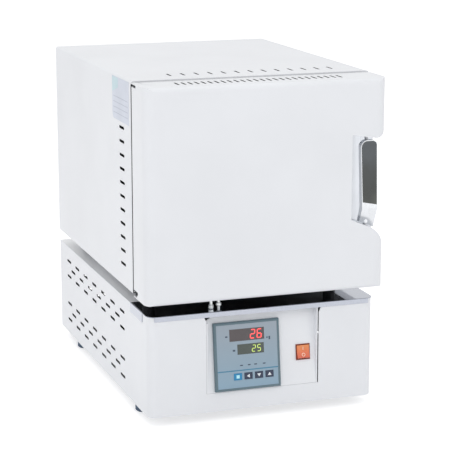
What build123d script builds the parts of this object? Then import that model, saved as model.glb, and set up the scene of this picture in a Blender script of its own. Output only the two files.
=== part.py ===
from build123d import *
import os
from math import cos, radians, sin, tan

# Bench-top muffle furnace: an insulated body with a side-hung door stands on a control base.
# X is the width, with 0 at mid-width. Y runs from front to back, with 0 at the front face of
# the base. Z is the height above the table. save() moves every piece to the shared origin,
# which is the centre of the footprint. All sizes are in millimetres.

os.makedirs("parts", exist_ok=True)

# ---------------------------------------------------------------- driving dimensions
SHEET = 1.5                    # painted steel sheet
FIT = 0.3                      # gap between neighbours that only need to clear
RUN = 0.05                     # radial gap of a pin or screw in its hole

FOOT_H = 15.0
FOOT_R = 14.0
FOOT_INSET_X = 19.0            # from the side of the base to the foot's axis
FOOT_INSET_Y = 84.0            # from the front and the back of the base

BASE_W = 331.0
BASE_D = 498.0
BASE_H = 142.5
BASE_CORNER_R = 12.0
FLANGE = 14.0                  # inward return flange of the sheet shells

BODY_W = 346.0
BODY_D = 423.0
BODY_H = 291.5
BODY_SETBACK = 47.0            # from the front of the base to the front of the body
BODY_GAP = 24.5                # air gap between the base and the body
BODY_BEND_R = 4.0

DOOR_T = 61.5
DOOR_GAP = 5.0                 # between the closed door and the body
DOOR_DROP = 3.7                # the door hangs this far below the body
DOOR_TOP_STEP = 1.5            # and stops this far below its top
DOOR_EDGE_R = 16.0             # upright front edges
DOOR_TOP_R = 7.0
DOOR_BOTTOM_R = 5.0

MUFFLE_T = 22.0                # ceramic board that carries the heating wire
WOOL_T = 38.0                  # fibre boards round the muffle
LINER_T = 1.0                  # sheet of the inner case
SIDE_AIR = 20.5                # air between the inner case and the body's sheets
TOP_AIR = 19.0
BACK_AIR = 57.5
LEG_H = 16.0                   # and under it

SILL_T = 1.0
SILL_D = 86.0
SILL_LIP = 7.0                 # front lip, sill sheet included
SILL_SIDE_LIP = 13.0
SILL_SIDE_START = 27.0         # the side lips begin behind the rounded corners

PANEL_TILT = 6.8               # degrees that the control panel leans back
PANEL_RISE = 27.0              # foot of the panel above the bottom of the base shell
PANEL_HALF_W = 82.8            # half width of its opening
PANEL_GAP = 1.0                # slit on each side of a centred panel
PANEL_SHIFT = -0.6             # the panel sits a little to the left in its opening
PANEL_RELIEF_W = 3.5           # corner cuts at the top of the opening
PANEL_RELIEF_H = 8.0

CONTROLLER = 96.0              # square bezel
CONTROLLER_X = -22.8
CONTROLLER_UP = 49.7           # its centre, measured up the panel
CONTROLLER_T = 5.5             # how far the bezel stands out
CONTROLLER_RIM = 3.5
CONTROLLER_CUTOUT = 92.0
CONTROLLER_DEPTH = 70.0

KEY_W = 11.8
KEY_H = 9.3
KEY_PITCH = 15.5
KEY_FIRST_X = -15.1            # centre of the first key from the controller's centre
KEY_Y = -29.0
KEY_TRAVEL = 0.6

ROCKER_X = 61.0
ROCKER_UP = 45.8
ROCKER_FRAME_W = 21.0
ROCKER_FRAME_H = 22.5
ROCKER_THROW = 9.0             # degrees to each side of the middle

HINGE_IN_X = 5.4               # hinge axis from the door's left face
HINGE_IN_Y = 5.0               # and from its rear face
HINGE_PIN_R = 2.5
BRACKET_T = 2.5

NOTCH_W = 51.9                 # handle recess, from the door's right face
NOTCH_Z0 = 85.7                # low end of its floor above the bottom of the door
NOTCH_H = 131.4
NOTCH_D = 50.0
NOTCH_TOP_FALL = 6.0           # the roof and the floor of the recess fall to the right
NOTCH_FLOOR_FALL = 13.0
NOTCH_FLARE_TOP = 16.0         # and flare at the door's side
NOTCH_FLARE_LOW = 21.0
NOTCH_FLARE_DROP = 28.0

LEVER_W = 24.5
LEVER_INSET = 12.9             # from the left edge of the recess
LEVER_LEAN = 3.5               # the lower end stands this far to the right
LEVER_SPREAD = 2.0             # and its right edge this far
LEVER_T = 9.0

PIN_R = 2.5                    # small pivot and catch pins

SLOT_L = 24.0
SLOT_W = 4.0
TOP_SLOT_L = 22.0
TOP_SLOT_W = 3.2

SCREW_R = 1.6
SCREW_HEAD_R = 3.6
SCREW_HEAD_H = 1.8
SCREW_L = 6.0

GLAND_BORE_R = 4.5
GLAND_LEN = 14.0               # how far the cable gland stands out behind the base

# ---------------------------------------------------------------- places worked out from them
BASE_X = BASE_W / 2
BASE_Z0 = FOOT_H
BASE_Z1 = BASE_Z0 + BASE_H
SILL_Z = BASE_Z1 + SILL_T

BODY_X = BODY_W / 2
BODY_Y0 = BODY_SETBACK
BODY_Y1 = BODY_Y0 + BODY_D
BODY_Z0 = BASE_Z1 + BODY_GAP
BODY_Z1 = BODY_Z0 + BODY_H

DOOR_Y1 = BODY_Y0 - DOOR_GAP
DOOR_Y0 = DOOR_Y1 - DOOR_T
DOOR_Z0 = BODY_Z0 - DOOR_DROP
DOOR_Z1 = BODY_Z1 - DOOR_TOP_STEP

FRONT = BODY_Y0 + SHEET        # rear of the front frame, where the muffle begins
WOOL_X = BODY_X - SHEET - SIDE_AIR - LINER_T
WOOL_Y1 = BODY_Y1 - 2 * SHEET - BACK_AIR - LINER_T
WOOL_Z = (BODY_Z0 + 2 * SHEET + LEG_H + LINER_T, BODY_Z1 - SHEET - TOP_AIR - LINER_T)
MUFFLE_X = WOOL_X - WOOL_T
MUFFLE_Y1 = WOOL_Y1 - WOOL_T
MUFFLE_Z = (WOOL_Z[0] + WOOL_T, WOOL_Z[1] - WOOL_T)

CHAMBER_W = 2 * (MUFFLE_X - MUFFLE_T)
CHAMBER_Y1 = MUFFLE_Y1 - MUFFLE_T
CHAMBER_Z0 = MUFFLE_Z[0] + MUFFLE_T
CHAMBER_Z1 = MUFFLE_Z[1] - MUFFLE_T
CHAMBER_H = CHAMBER_Z1 - CHAMBER_Z0
CHAMBER_MID = (CHAMBER_Z0 + CHAMBER_Z1) / 2

HINGE_X = -BODY_X + HINGE_IN_X
HINGE_Y = DOOR_Y1 - HINGE_IN_Y

ORIGIN = Pos(0, -(DOOR_Y0 + BASE_D + GLAND_LEN) / 2, 0)


# ---------------------------------------------------------------- helpers
def save(node, shape):
    """Write one sub-part, moved to the shared origin."""
    export_step(ORIGIN * shape, f"parts/{node}.step")


def block(x, y, z):
    """Box between the (low, high) limits on each axis."""
    low = (Align.MIN, Align.MIN, Align.MIN)
    return Pos(x[0], y[0], z[0]) * Box(x[1] - x[0], y[1] - y[0], z[1] - z[0], align=low)


def rod(radius, length, start, along=(0, 0, 1)):
    """Cylinder that starts at a point and runs along a direction."""
    base = (Align.CENTER, Align.CENTER, Align.MIN)
    return Plane(origin=start, z_dir=along) * Cylinder(radius, length, align=base)


def bar(radius, length, start, along=(0, 0, 1), sides=12):
    """Many-sided bar, for small round parts and the holes that they fill."""
    return Plane(origin=start, z_dir=along) * extrude(RegularPolygon(radius, sides), length)


def joined(shapes):
    """All the shapes of a list in one, fused where they meet."""
    return Part() + list(shapes)


def front_rounded(half_w, y0, y1, radius):
    """Plan outline with its two front corners rounded."""
    plan = Pos(0, (y0 + y1) / 2) * Rectangle(2 * half_w, y1 - y0)
    corners = plan.vertices().sort_by(Axis.Y)[:2]
    return fillet(corners, radius)


def prism(plan, z0, z1):
    """Upright prism over a plan outline."""
    return Pos(0, 0, z0) * extrude(plan, z1 - z0)


def side_prism(points, x0, x1):
    """Prism along X over an outline of (y, z) points."""
    face = Plane.YZ * make_face(Polyline(*points, close=True))
    return Pos(x0, 0, 0) * extrude(face, x1 - x0)


def slot(length, width):
    """Outline of a round-ended slot along X, each end in three facets."""
    r = width / 2
    mid = length / 2 - r * cos(radians(30))
    end = [(mid + r * cos(radians(a)), r * sin(radians(a))) for a in (-90, -30, 30, 90)]
    return make_face(Polyline(*end, *[(-x, -y) for x, y in end], close=True))


def slots_along_y(length, width, places, through, axis):
    """Slots that run along Y, cut through the X or the Z direction."""
    base = Plane.YZ if axis == "X" else Plane.XY
    turn = Rot(0, 0, 0) if axis == "X" else Rot(0, 0, 90)
    one = turn * extrude(slot(length, width), through, both=True)
    return [Plane(origin=at, x_dir=base.x_dir, z_dir=base.z_dir) * one for at in places]


def screw(start, along, shank):
    """Hexagon-head screw with its head's seat at the start and its shank along a direction."""
    back = tuple(-a for a in along)
    return bar(SCREW_HEAD_R, SCREW_HEAD_H, start, back, 6) + bar(SCREW_R, shank, start, along, 6)


def screw_hole(start, along, depth):
    return bar(SCREW_R + RUN, depth, start, along, 6)


# ---------------------------------------------------------------- feet and base
FOOT_AT = [
    (sx * (BASE_X - FOOT_INSET_X), y)
    for sx in (-1, 1)
    for y in (FOOT_INSET_Y, BASE_D - FOOT_INSET_Y)
]
FOOT_HOLE_R = 2.6
FOOT_SINK_R = 6.5
FOOT_SINK_H = 6.0


def feet():
    """Rubber feet with a sunk screw head."""
    foot = bar(FOOT_R, FOOT_H, (0, 0, 0), sides=24)
    foot = chamfer(foot.edges().group_by(Axis.Z)[0], 1.5)
    foot -= bar(FOOT_SINK_R, FOOT_SINK_H, (0, 0, 0), sides=8)
    foot -= bar(FOOT_HOLE_R, FOOT_H, (0, 0, 0), sides=6)
    return joined(Pos(x, y, 0) * foot for x, y in FOOT_AT)


def foot_screws():
    """Hexagon-head screws that reach up through the feet and the base's tray."""
    head = bar(4.8, 3.0, (0, 0, FOOT_SINK_H - 3.0), sides=6)
    shank = FOOT_H + SHEET + 4 - FOOT_SINK_H
    one = head + bar(FOOT_HOLE_R - RUN, shank, (0, 0, FOOT_SINK_H), sides=6)
    return joined(Pos(x, y, 0) * one for x, y in FOOT_AT)


BASE_SLOT_PITCH = 51.6
BASE_SLOT_MID_Y = 285.5
BASE_SLOT_HEIGHTS = (119.4, 107.2, 94.8, 49.9, 36.8, 23.4)    # two bands of three rows
BASE_SLOT_COUNT = 7                          # one fewer in the middle row of a band


def base_slots():
    places = []
    for row, height in enumerate(BASE_SLOT_HEIGHTS):
        count = BASE_SLOT_COUNT - (row % 3 == 1)
        for i in range(count):
            y = BASE_SLOT_MID_Y + (i - (count - 1) / 2) * BASE_SLOT_PITCH
            places.append((0, y, BASE_Z0 + height))
    return slots_along_y(SLOT_L, SLOT_W, places, BASE_W, "X")


PANEL_Z0 = BASE_Z0 + PANEL_RISE
PANEL_TOP = SILL_Z - SILL_LIP + 1.0          # the opening ends just behind the sill's lip
BASE_SCREWS = [
    (sx * (BASE_X - SHEET - FLANGE / 2), BASE_D, BASE_Z0 + z) for sx in (-1, 1) for z in (25, BASE_H - 25)
]


def base_shell():
    """Front and sides in one bent sheet, with return flanges at the back."""
    outer = prism(front_rounded(BASE_X, 0, BASE_D, BASE_CORNER_R), BASE_Z0, BASE_Z1)
    hollow = front_rounded(BASE_X - SHEET, SHEET, BASE_D + SHEET, BASE_CORNER_R - SHEET)
    shell = outer - prism(hollow, BASE_Z0, BASE_Z1)
    for side in (-1, 1):
        x = sorted((side * (BASE_X - SHEET), side * (BASE_X - SHEET - FLANGE)))
        shell += block(x, (BASE_D - SHEET, BASE_D), (BASE_Z0, BASE_Z1))
    shell -= base_slots()
    w = PANEL_HALF_W
    wide, high = w + PANEL_RELIEF_W, PANEL_TOP - PANEL_RELIEF_H
    opening = Polyline(
        (-w, PANEL_Z0), (w, PANEL_Z0), (w, high), (wide, PANEL_TOP), (-wide, PANEL_TOP), (-w, high),
        close=True,
    )
    shell -= Pos(0, SHEET * 2, 0) * extrude(Plane.XZ * make_face(opening), SHEET * 3)
    shell -= [screw_hole(at, (0, -1, 0), SHEET) for at in BASE_SCREWS]
    return shell


TRAY_WALL = 18.0


def base_bottom():
    """Bottom tray that carries the feet and the electrical parts."""
    edge = BASE_D - 2 * SHEET
    plan = front_rounded(BASE_X - SHEET, SHEET, edge, BASE_CORNER_R - SHEET)
    hollow = front_rounded(BASE_X - 2 * SHEET, 2 * SHEET, edge - SHEET, BASE_CORNER_R - 2 * SHEET)
    tray = prism(plan, BASE_Z0, BASE_Z0 + TRAY_WALL)
    tray -= prism(hollow, BASE_Z0 + SHEET, BASE_Z0 + TRAY_WALL)
    return tray - [bar(FOOT_HOLE_R, SHEET, (x, y, BASE_Z0), sides=6) for x, y in FOOT_AT]


GLAND_AT = (118.0, BASE_D - 3 * SHEET - 8, BASE_Z0 + 45)
FUSE_AT = (78.0, BASE_D - 2 * SHEET, BASE_Z0 + 45)
GLAND_THREAD_R = 8.0
FUSE_R = 6.5
BACK_SLOT_ROWS = 5
BACK_SLOT_COLUMNS = 2
BACK_SLOT_L = 60.0


def base_back():
    """Rear panel of the base, inside the return flanges."""
    panel = block(
        (-BASE_X + SHEET, BASE_X - SHEET), (BASE_D - 2 * SHEET, BASE_D - SHEET), (BASE_Z0, BASE_Z1 - SHEET)
    )
    for row in range(BACK_SLOT_ROWS):
        for column in range(BACK_SLOT_COLUMNS):
            x = -100 + column * (BACK_SLOT_L + 16)
            z = BASE_Z0 + 45 + row * 12
            cut = Plane.XZ * slot(BACK_SLOT_L, SLOT_W)
            panel -= Pos(x, BASE_D, z) * extrude(cut, 4 * SHEET)
    panel -= rod(GLAND_THREAD_R + RUN, 20.0, GLAND_AT, (0, 1, 0))
    panel -= bar(FUSE_R + RUN, 2 * SHEET, FUSE_AT, (0, 1, 0))
    panel -= [screw_hole(at, (0, -1, 0), 2 * SHEET) for at in BASE_SCREWS]
    return panel


STANDOFF_R = 9.0
STANDOFF_IN_X = 36.0             # from the side of the body
STANDOFF_IN_FRONT = 49.0
STANDOFF_IN_BACK = 45.0
STANDOFF_AT = [
    (sx * (BODY_X - STANDOFF_IN_X), y)
    for sx in (-1, 1)
    for y in (BODY_Y0 + STANDOFF_IN_FRONT, BODY_Y1 - STANDOFF_IN_BACK)
]
WIRE_HOLE = block((-30, 30), (BODY_Y1 - 60, BODY_Y1 - 30), (BASE_Z1 - 2 * SHEET, BODY_Z0 + 4 * SHEET))


def base_top():
    """Deck of the base, inside the shell."""
    plan = front_rounded(BASE_X - SHEET, SHEET, BASE_D - SHEET, BASE_CORNER_R - SHEET)
    return prism(plan, BASE_Z1 - SHEET, BASE_Z1) - WIRE_HOLE - switch_hole()


def standoffs():
    """Spacers that hold the body above the deck."""
    return joined(bar(STANDOFF_R, BODY_GAP + SHEET, (x, y, BASE_Z1)) for x, y in STANDOFF_AT)


# ---------------------------------------------------------------- sill and door switch
SWITCH_X = -59.2
SWITCH_Y = 18.0
SWITCH_STEM_R = 2.2
SWITCH_CAP_R = 4.2
STOP_CAP_R = 3.8
SWITCH_CAP_H = 7.0
SWITCH_TRAVEL = 3.0
SWITCH_CASE_H = 17.0
SWITCH_STEM_Z = BASE_Z1 - 9.0    # lower end of the plunger
STOP_X = SWITCH_X - 11.0
SWITCH_TOP = DOOR_Z0 - FIT


def switch_hole():
    """Holes through the deck and the sill for the door switch and its neighbour."""
    top = SILL_Z - BASE_Z1 + 2 * SHEET
    low = BASE_Z1 - 2 * SHEET
    hole = bar(SWITCH_STEM_R + RUN, top, (SWITCH_X, SWITCH_Y, low))
    return hole + bar(SWITCH_STEM_R + RUN, top, (STOP_X, SWITCH_Y, low))


def sill_plate():
    """Polished plate over the front of the deck, lipped at the front and the sides."""
    top = prism(front_rounded(BASE_X + SILL_T, -SILL_T, SILL_D, BASE_CORNER_R + SILL_T), BASE_Z1, SILL_Z)
    flat = BASE_X - BASE_CORNER_R + 3.5
    top += block((-flat, flat), (-SILL_T, 0), (SILL_Z - SILL_LIP, BASE_Z1))
    front = top.edges().filter_by(Axis.X).group_by(Axis.Y)[0].sort_by(Axis.Z)[-1]
    top = chamfer(front, SILL_T * 0.6)
    for side in (-1, 1):
        x = sorted((side * BASE_X, side * (BASE_X + SILL_T)))
        top += block(x, (SILL_SIDE_START, SILL_D), (SILL_Z - SILL_SIDE_LIP, BASE_Z1))
    return top - switch_hole()


def post_collar(radius, x, z, height):
    """Round collar with both rims broken, as on a turned post."""
    collar = bar(radius, height, (x, SWITCH_Y, z), sides=16)
    return chamfer(collar.faces().sort_by(Axis.Z)[-1].edges() + collar.faces().sort_by(Axis.Z)[0].edges(), 1.0)


def switch_plunger():
    """Sprung plunger that the closed door keeps down, with a collar above its travel."""
    cap = post_collar(SWITCH_CAP_R, SWITCH_X, SWITCH_TOP - SWITCH_CAP_H, SWITCH_CAP_H)
    collar = post_collar(SWITCH_CAP_R, SWITCH_X, SILL_Z + SWITCH_TRAVEL + FIT, 5.0)
    stem = SWITCH_TOP - 1.0 - SWITCH_STEM_Z
    return cap + collar + bar(SWITCH_STEM_R, stem, (SWITCH_X, SWITCH_Y, SWITCH_STEM_Z))


def switch_body():
    """Microswitch hung under the deck, with a well for the plunger."""
    x, y = SWITCH_X, SWITCH_Y
    high = BASE_Z1 - SHEET
    case = block((x - 7, x + 13), (y - 3.1, y + 24), (high - SWITCH_CASE_H, high))
    well = bar(SWITCH_STEM_R + RUN, SWITCH_CASE_H, (x, y, SWITCH_STEM_Z - SWITCH_TRAVEL - FIT))
    return case - well


def stop_post():
    """Fixed post beside the plunger that the door's lower edge comes to rest over."""
    cap = post_collar(STOP_CAP_R, STOP_X, SWITCH_TOP - SWITCH_CAP_H, SWITCH_CAP_H)
    foot = post_collar(STOP_CAP_R, STOP_X, SILL_Z, 6.0)
    stem = BASE_Z1 - 4.0
    return cap + foot + bar(SWITCH_STEM_R, SWITCH_TOP - 1.0 - stem, (STOP_X, SWITCH_Y, stem))


# ---------------------------------------------------------------- control panel
LEAN = radians(PANEL_TILT)
PANEL_NORMAL = (0, -cos(LEAN), sin(LEAN))
PANEL_PLANE = Plane(origin=(0, 0, PANEL_Z0), x_dir=(1, 0, 0), z_dir=PANEL_NORMAL)
PANEL_END_Z = PANEL_TOP - 1.2                # the panel stops below the deck
PANEL_LEN = (PANEL_END_Z - PANEL_Z0) / cos(LEAN)
PANEL_NOTCH = 9.0
CONTROLLER_PLACE = PANEL_PLANE * Pos(CONTROLLER_X, CONTROLLER_UP, 0)
ROCKER_PLACE = PANEL_PLANE * Pos(ROCKER_X, ROCKER_UP, 0)
ROCKER_CUT_W = ROCKER_FRAME_W - 2.0
ROCKER_CUT_H = ROCKER_FRAME_H - 2.0


def corner_notch(left):
    """Slanted cut across the upper left corner of the panel and its cheek."""
    high, reach = PANEL_END_Z, PANEL_NOTCH
    cut = Polyline(
        (left - 1, high + 1), (left + 1, high + 1), (left + reach, high - reach / 2), (left, high - reach),
        (left - 1, high - reach), close=True,
    )
    return Pos(0, -1, 0) * extrude(Plane.XZ * make_face(cut), -SILL_D / 2)


def control_panel():
    """Sheet that leans back from its foot, with cheeks that reach the front of the base."""
    left = PANEL_SHIFT - PANEL_HALF_W + PANEL_GAP
    right = PANEL_SHIFT + PANEL_HALF_W - PANEL_GAP
    sheet = Pos(0, 0, -SHEET) * block((left, right), (FIT, PANEL_LEN), (0, SHEET))
    panel = PANEL_PLANE * sheet
    top = PANEL_END_Z
    wedge = [(FIT, PANEL_Z0 + 5), ((top - PANEL_Z0) * tan(LEAN) + FIT, top), (FIT, top)]
    panel += side_prism(wedge, left, left + SHEET)
    panel += side_prism(wedge, right - SHEET, right)
    panel -= corner_notch(left)
    panel -= CONTROLLER_PLACE * Box(CONTROLLER_CUTOUT, CONTROLLER_CUTOUT, 4 * SHEET)
    panel -= ROCKER_PLACE * Box(ROCKER_CUT_W, ROCKER_CUT_H, 4 * SHEET)
    return panel


FACE_T = 1.0
FACE_TOP = CONTROLLER_T - 0.2
FACE_W = CONTROLLER - 2 * CONTROLLER_RIM
WINDOW_T = 0.8
UPPER_WINDOW = (0.0, 29.2, 51.0, 17.0)        # centre x, centre y, width, height
LOWER_WINDOW = (5.0, 8.9, 39.0, 14.4)
KEY_WELL_Z = 1.8
KEY_AT = [(KEY_FIRST_X + i * KEY_PITCH, KEY_Y) for i in range(4)]


def upright(w, h, z0, z1):
    """Box centred on the panel's normal, between two heights above the panel."""
    return Pos(0, 0, (z0 + z1) / 2) * Box(w, h, z1 - z0)


def controller_case():
    """Square bezel with the instrument's body behind the panel."""
    bezel = upright(CONTROLLER, CONTROLLER, 0, CONTROLLER_T)
    bezel = chamfer(bezel.edges().group_by(Axis.Z)[-1], 1.0)
    inner = CONTROLLER_CUTOUT - 2 * FIT
    case = bezel + upright(inner, inner, -CONTROLLER_DEPTH, 0)
    case -= upright(FACE_W, FACE_W, FACE_TOP - FACE_T, CONTROLLER_T)
    wells = KEY_PITCH * 3 + KEY_W + 4
    middle = (KEY_AT[0][0] + KEY_AT[-1][0]) / 2
    case -= Pos(middle, KEY_Y, 0) * upright(wells, KEY_H + 3, KEY_WELL_Z, CONTROLLER_T)
    return CONTROLLER_PLACE * case


def controller_face():
    """Front foil plate with openings for the displays and the keys."""
    side = FACE_W - 2 * RUN
    face = upright(side, side, FACE_TOP - FACE_T, FACE_TOP)
    for x, y, w, h in (UPPER_WINDOW, LOWER_WINDOW):
        face -= Pos(x, y, 0) * upright(w, h, 0, CONTROLLER_T)
    for x, y in KEY_AT:
        face -= Pos(x, y, 0) * upright(KEY_W + 0.4, KEY_H + 0.4, 0, CONTROLLER_T)
    return CONTROLLER_PLACE * face


def display(window):
    x, y, w, h = window
    low = FACE_TOP - FACE_T
    return CONTROLLER_PLACE * (Pos(x, y, 0) * upright(w - 2 * RUN, h - 2 * RUN, low, low + WINDOW_T))


def key(index):
    x, y = KEY_AT[index]
    cap = upright(KEY_W, KEY_H, KEY_WELL_Z + KEY_TRAVEL + 0.2, FACE_TOP + 0.4)
    cap = chamfer(cap.edges().group_by(Axis.Z)[-1], 0.3)
    return CONTROLLER_PLACE * (Pos(x, y, 0) * cap)


ROCKER_R = 9.9                  # reach of the rocker's ends from its pivot
ROCKER_PIVOT_Z = -1.0
ROCKER_VEE_Z = 2.0              # bottom of the vee in its top
ROCKER_HALF_W = 9.0
ROCKER_PIN_R = 1.2


def switch_housing():
    """Frame and box of the rocker switch."""
    frame = upright(ROCKER_FRAME_W, ROCKER_FRAME_H, 0, 1.6)
    frame = chamfer(frame.edges().group_by(Axis.Z)[-1], 0.5)
    box = upright(ROCKER_CUT_W - 2 * RUN, ROCKER_CUT_H - 2 * RUN, -22.0, 0)
    well = upright(2 * ROCKER_HALF_W + 0.5, 2 * ROCKER_R + 0.5, -13.0, 2.0)
    pin_hole = Plane.YZ * Cylinder(ROCKER_PIN_R + RUN, ROCKER_CUT_W - 0.6)
    housing = frame + box - well - Pos(0, 0, ROCKER_PIVOT_Z) * pin_hole
    return ROCKER_PLACE * housing


def switch_rocker():
    """Rocker with a shallow vee top, at rest with its upper half pressed in."""
    slope = tan(radians(ROCKER_THROW))
    reach = ROCKER_R + 2
    top = reach * slope + ROCKER_VEE_Z
    vee = side_prism([(-reach, top), (0, ROCKER_VEE_Z), (reach, top), (reach, -8), (-reach, -8)],
                     -ROCKER_HALF_W, ROCKER_HALF_W)
    disc = Pos(0, 0, ROCKER_PIVOT_Z) * (Plane.YZ * Cylinder(ROCKER_R, 2 * ROCKER_HALF_W))
    pin = Pos(0, 0, ROCKER_PIVOT_Z) * (Plane.YZ * Cylinder(ROCKER_PIN_R, ROCKER_CUT_W - 0.8))
    body = (vee & disc) + pin
    turned = Pos(0, 0, ROCKER_PIVOT_Z) * Rot(-ROCKER_THROW, 0, 0) * Pos(0, 0, -ROCKER_PIVOT_Z) * body
    return ROCKER_PLACE * turned


# ---------------------------------------------------------------- electrical parts in the base
def cable_gland():
    """Threaded gland for the supply cable."""
    x, y, z = GLAND_AT
    inside = BASE_D - SHEET - y
    body = bar(GLAND_THREAD_R, inside + GLAND_LEN + SHEET, GLAND_AT, (0, 1, 0))
    nut = RegularPolygon(11.0, 6)
    seat = BASE_D - SHEET
    body += Pos(x, seat, z) * extrude(Plane.XZ * nut, -6.0)
    body += Pos(x, BASE_D - 2 * SHEET - 4.0, z) * extrude(Plane.XZ * nut, -4.0)
    tip = body.faces().sort_by(Axis.Y)[-1]
    body = chamfer(tip.edges(), 2.0)
    return body - rod(GLAND_BORE_R, 60.0, GLAND_AT, (0, 1, 0))


def fuse_holder():
    """Panel fuse holder with a slotted cap."""
    x, y, z = FUSE_AT
    body = bar(FUSE_R, 30.0, (x, y - 27.0, z), (0, 1, 0))
    body += bar(FUSE_R + 2, 7.0, (x, BASE_D - SHEET, z), (0, 1, 0), 16)
    return body - block((x - FUSE_R, x + FUSE_R), (BASE_D + 4.0, BASE_D + 8), (z - 0.8, z + 0.8))


TRAY_FLOOR = BASE_Z0 + SHEET
HEATSINK = ((50.0, 130.0), (300.0, 400.0), 32.0)
FIN_COUNT = 9
FIN_T = 2.0
HEATSINK_BASE = 6.0


def relay_heatsink():
    """Aluminium extrusion with upright fins."""
    x, y, height = HEATSINK
    sink = block(x, y, (TRAY_FLOOR, TRAY_FLOOR + HEATSINK_BASE))
    pitch = (x[1] - x[0] - FIN_T) / (FIN_COUNT - 1)
    for i in range(FIN_COUNT):
        left = x[0] + i * pitch
        sink += block((left, left + FIN_T), (y[0], y[1] - 62), (TRAY_FLOOR, TRAY_FLOOR + height))
    return sink


def solid_state_relay():
    """Relay block on the plain end of the heatsink, with two screw terminals at each end."""
    x, y, _ = HEATSINK
    low = TRAY_FLOOR + HEATSINK_BASE
    mid = (x[0] + x[1]) / 2
    relay = block((mid - 29, mid + 29), (y[1] - 56, y[1] - 6), (low, low + 23))
    for sx in (-1, 1):
        for dy in (14, 36):
            relay += bar(4.0, 2.5, (mid + sx * 21, y[1] - 56 + dy, low + 23))
    return relay


TERMINAL_POLES = 6
TERMINAL_PITCH = 13.0


def terminal_block():
    """Screw terminal strip for the supply and the heater leads."""
    x0, y0 = -110.0, 400.0
    length = TERMINAL_POLES * TERMINAL_PITCH
    strip = block((x0, x0 + length), (y0, y0 + 26), (TRAY_FLOOR, TRAY_FLOOR + 10))
    for i in range(TERMINAL_POLES + 1):
        x = x0 + i * TERMINAL_PITCH
        wall = (max(x - 1, x0), min(x + 1, x0 + length))
        strip += block(wall, (y0, y0 + 26), (TRAY_FLOOR, TRAY_FLOOR + 17))
    for i in range(TERMINAL_POLES):
        x = x0 + (i + 0.5) * TERMINAL_PITCH
        strip += block((x - 3.5, x + 3.5), (y0 + 8, y0 + 18), (TRAY_FLOOR, TRAY_FLOOR + 14))
    return strip


# ---------------------------------------------------------------- body shell
SIDE_SLOT_COUNT = 11
SIDE_SLOT_PITCH = 19.13
SIDE_SLOT_Y = BODY_Y0 + 46.0
SIDE_SLOT_TOP = 222.2            # highest slot above the bottom of the body
TOP_SLOT_COUNT = 13
TOP_SLOT_PITCH = 19.74
TOP_SLOT_MID_X = 12.85
TOP_SLOT_Y = BODY_Y0 + 45.0
BODY_SCREWS = [
    (sx * (BODY_X - SHEET - FLANGE / 2), BODY_Y1, BODY_Z0 + z) for sx in (-1, 1) for z in (30, BODY_H / 2, BODY_H - 30)
]


def body_slots():
    sides = [(0, SIDE_SLOT_Y, BODY_Z0 + SIDE_SLOT_TOP - i * SIDE_SLOT_PITCH) for i in range(SIDE_SLOT_COUNT)]
    middle = (TOP_SLOT_COUNT - 1) / 2
    tops = [(TOP_SLOT_MID_X + (i - middle) * TOP_SLOT_PITCH, TOP_SLOT_Y, BODY_Z1) for i in range(TOP_SLOT_COUNT)]
    cuts = slots_along_y(SLOT_L, SLOT_W, sides, BODY_W, "X")
    return cuts + slots_along_y(TOP_SLOT_L, TOP_SLOT_W, tops, 3 * SHEET, "Z")


def outer_casing():
    """Top and sides in one bent sheet, flanged inwards at the bottom and the back."""
    shell = block((-BODY_X, BODY_X), (BODY_Y0, BODY_Y1), (BODY_Z0, BODY_Z1))
    top_edges = shell.edges().filter_by(Axis.Y).group_by(Axis.Z)[-1]
    shell = fillet(top_edges, BODY_BEND_R)
    inner = BODY_X - SHEET
    hollow = block((-inner, inner), (BODY_Y0, BODY_Y1 - SHEET), (BODY_Z0 + SHEET, BODY_Z1 - SHEET))
    hollow = fillet(hollow.edges().filter_by(Axis.Y).group_by(Axis.Z)[-1], BODY_BEND_R - SHEET)
    shell -= hollow
    lip = inner - FLANGE
    shell -= block((-lip, lip), (BODY_Y0, BODY_Y1), (BODY_Z0, BODY_Z0 + SHEET))
    shell -= block((-lip, lip), (BODY_Y1 - SHEET, BODY_Y1), (BODY_Z0, BODY_Z1 - SHEET - FLANGE))
    shell -= body_slots()
    shell -= [screw_hole(at, (0, -1, 0), SHEET) for at in BODY_SCREWS]
    return shell


def body_bottom():
    """Floor plate on the casing's bottom flanges."""
    inner = BODY_X - SHEET
    floor = (BODY_Z0 + SHEET, BODY_Z0 + 2 * SHEET)
    return block((-inner, inner), (FRONT, BODY_Y1 - 2 * SHEET), floor) - WIRE_HOLE


COVER_W = 116.0
COVER_H = 70.0
COVER_DEPTH = 22.0
COVER_EAR = 12.0                 # screw ears at the cover's sides
COVER_EAR_T = 1.0
COVER_Z = (CHAMBER_MID - COVER_H / 2, CHAMBER_MID + COVER_H / 2)
COVER_SCREWS = [
    (sx * (COVER_W + COVER_EAR) / 2, BODY_Y1 - SHEET + COVER_EAR_T, CHAMBER_MID) for sx in (-1, 1)
]
PROBE_R = 4.0
PROBE_Z = CHAMBER_Z1 - 20.0


def back_panel():
    """Rear panel of the body, inside the casing's flanges."""
    inner = BODY_X - SHEET
    y = (BODY_Y1 - 2 * SHEET, BODY_Y1 - SHEET)
    panel = block((-inner, inner), y, (BODY_Z0 + SHEET, BODY_Z1 - SHEET - BODY_BEND_R))
    half = COVER_W / 2 - 4.0
    panel -= block((-half, half), (y[0] - 1, y[1] + 1), (COVER_Z[0] + 10, COVER_Z[1] - 10))
    return panel - [screw_hole(at, (0, -1, 0), 2 * SHEET) for at in BODY_SCREWS] - [
        screw_hole(at, (0, -1, 0), 2 * SHEET) for at in COVER_SCREWS
    ]


def panel_screws():
    """Pan-head screws of the two rear panels and the terminal cover."""
    return joined(screw(at, (0, -1, 0), SCREW_L) for at in BASE_SCREWS + BODY_SCREWS + COVER_SCREWS)


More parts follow.
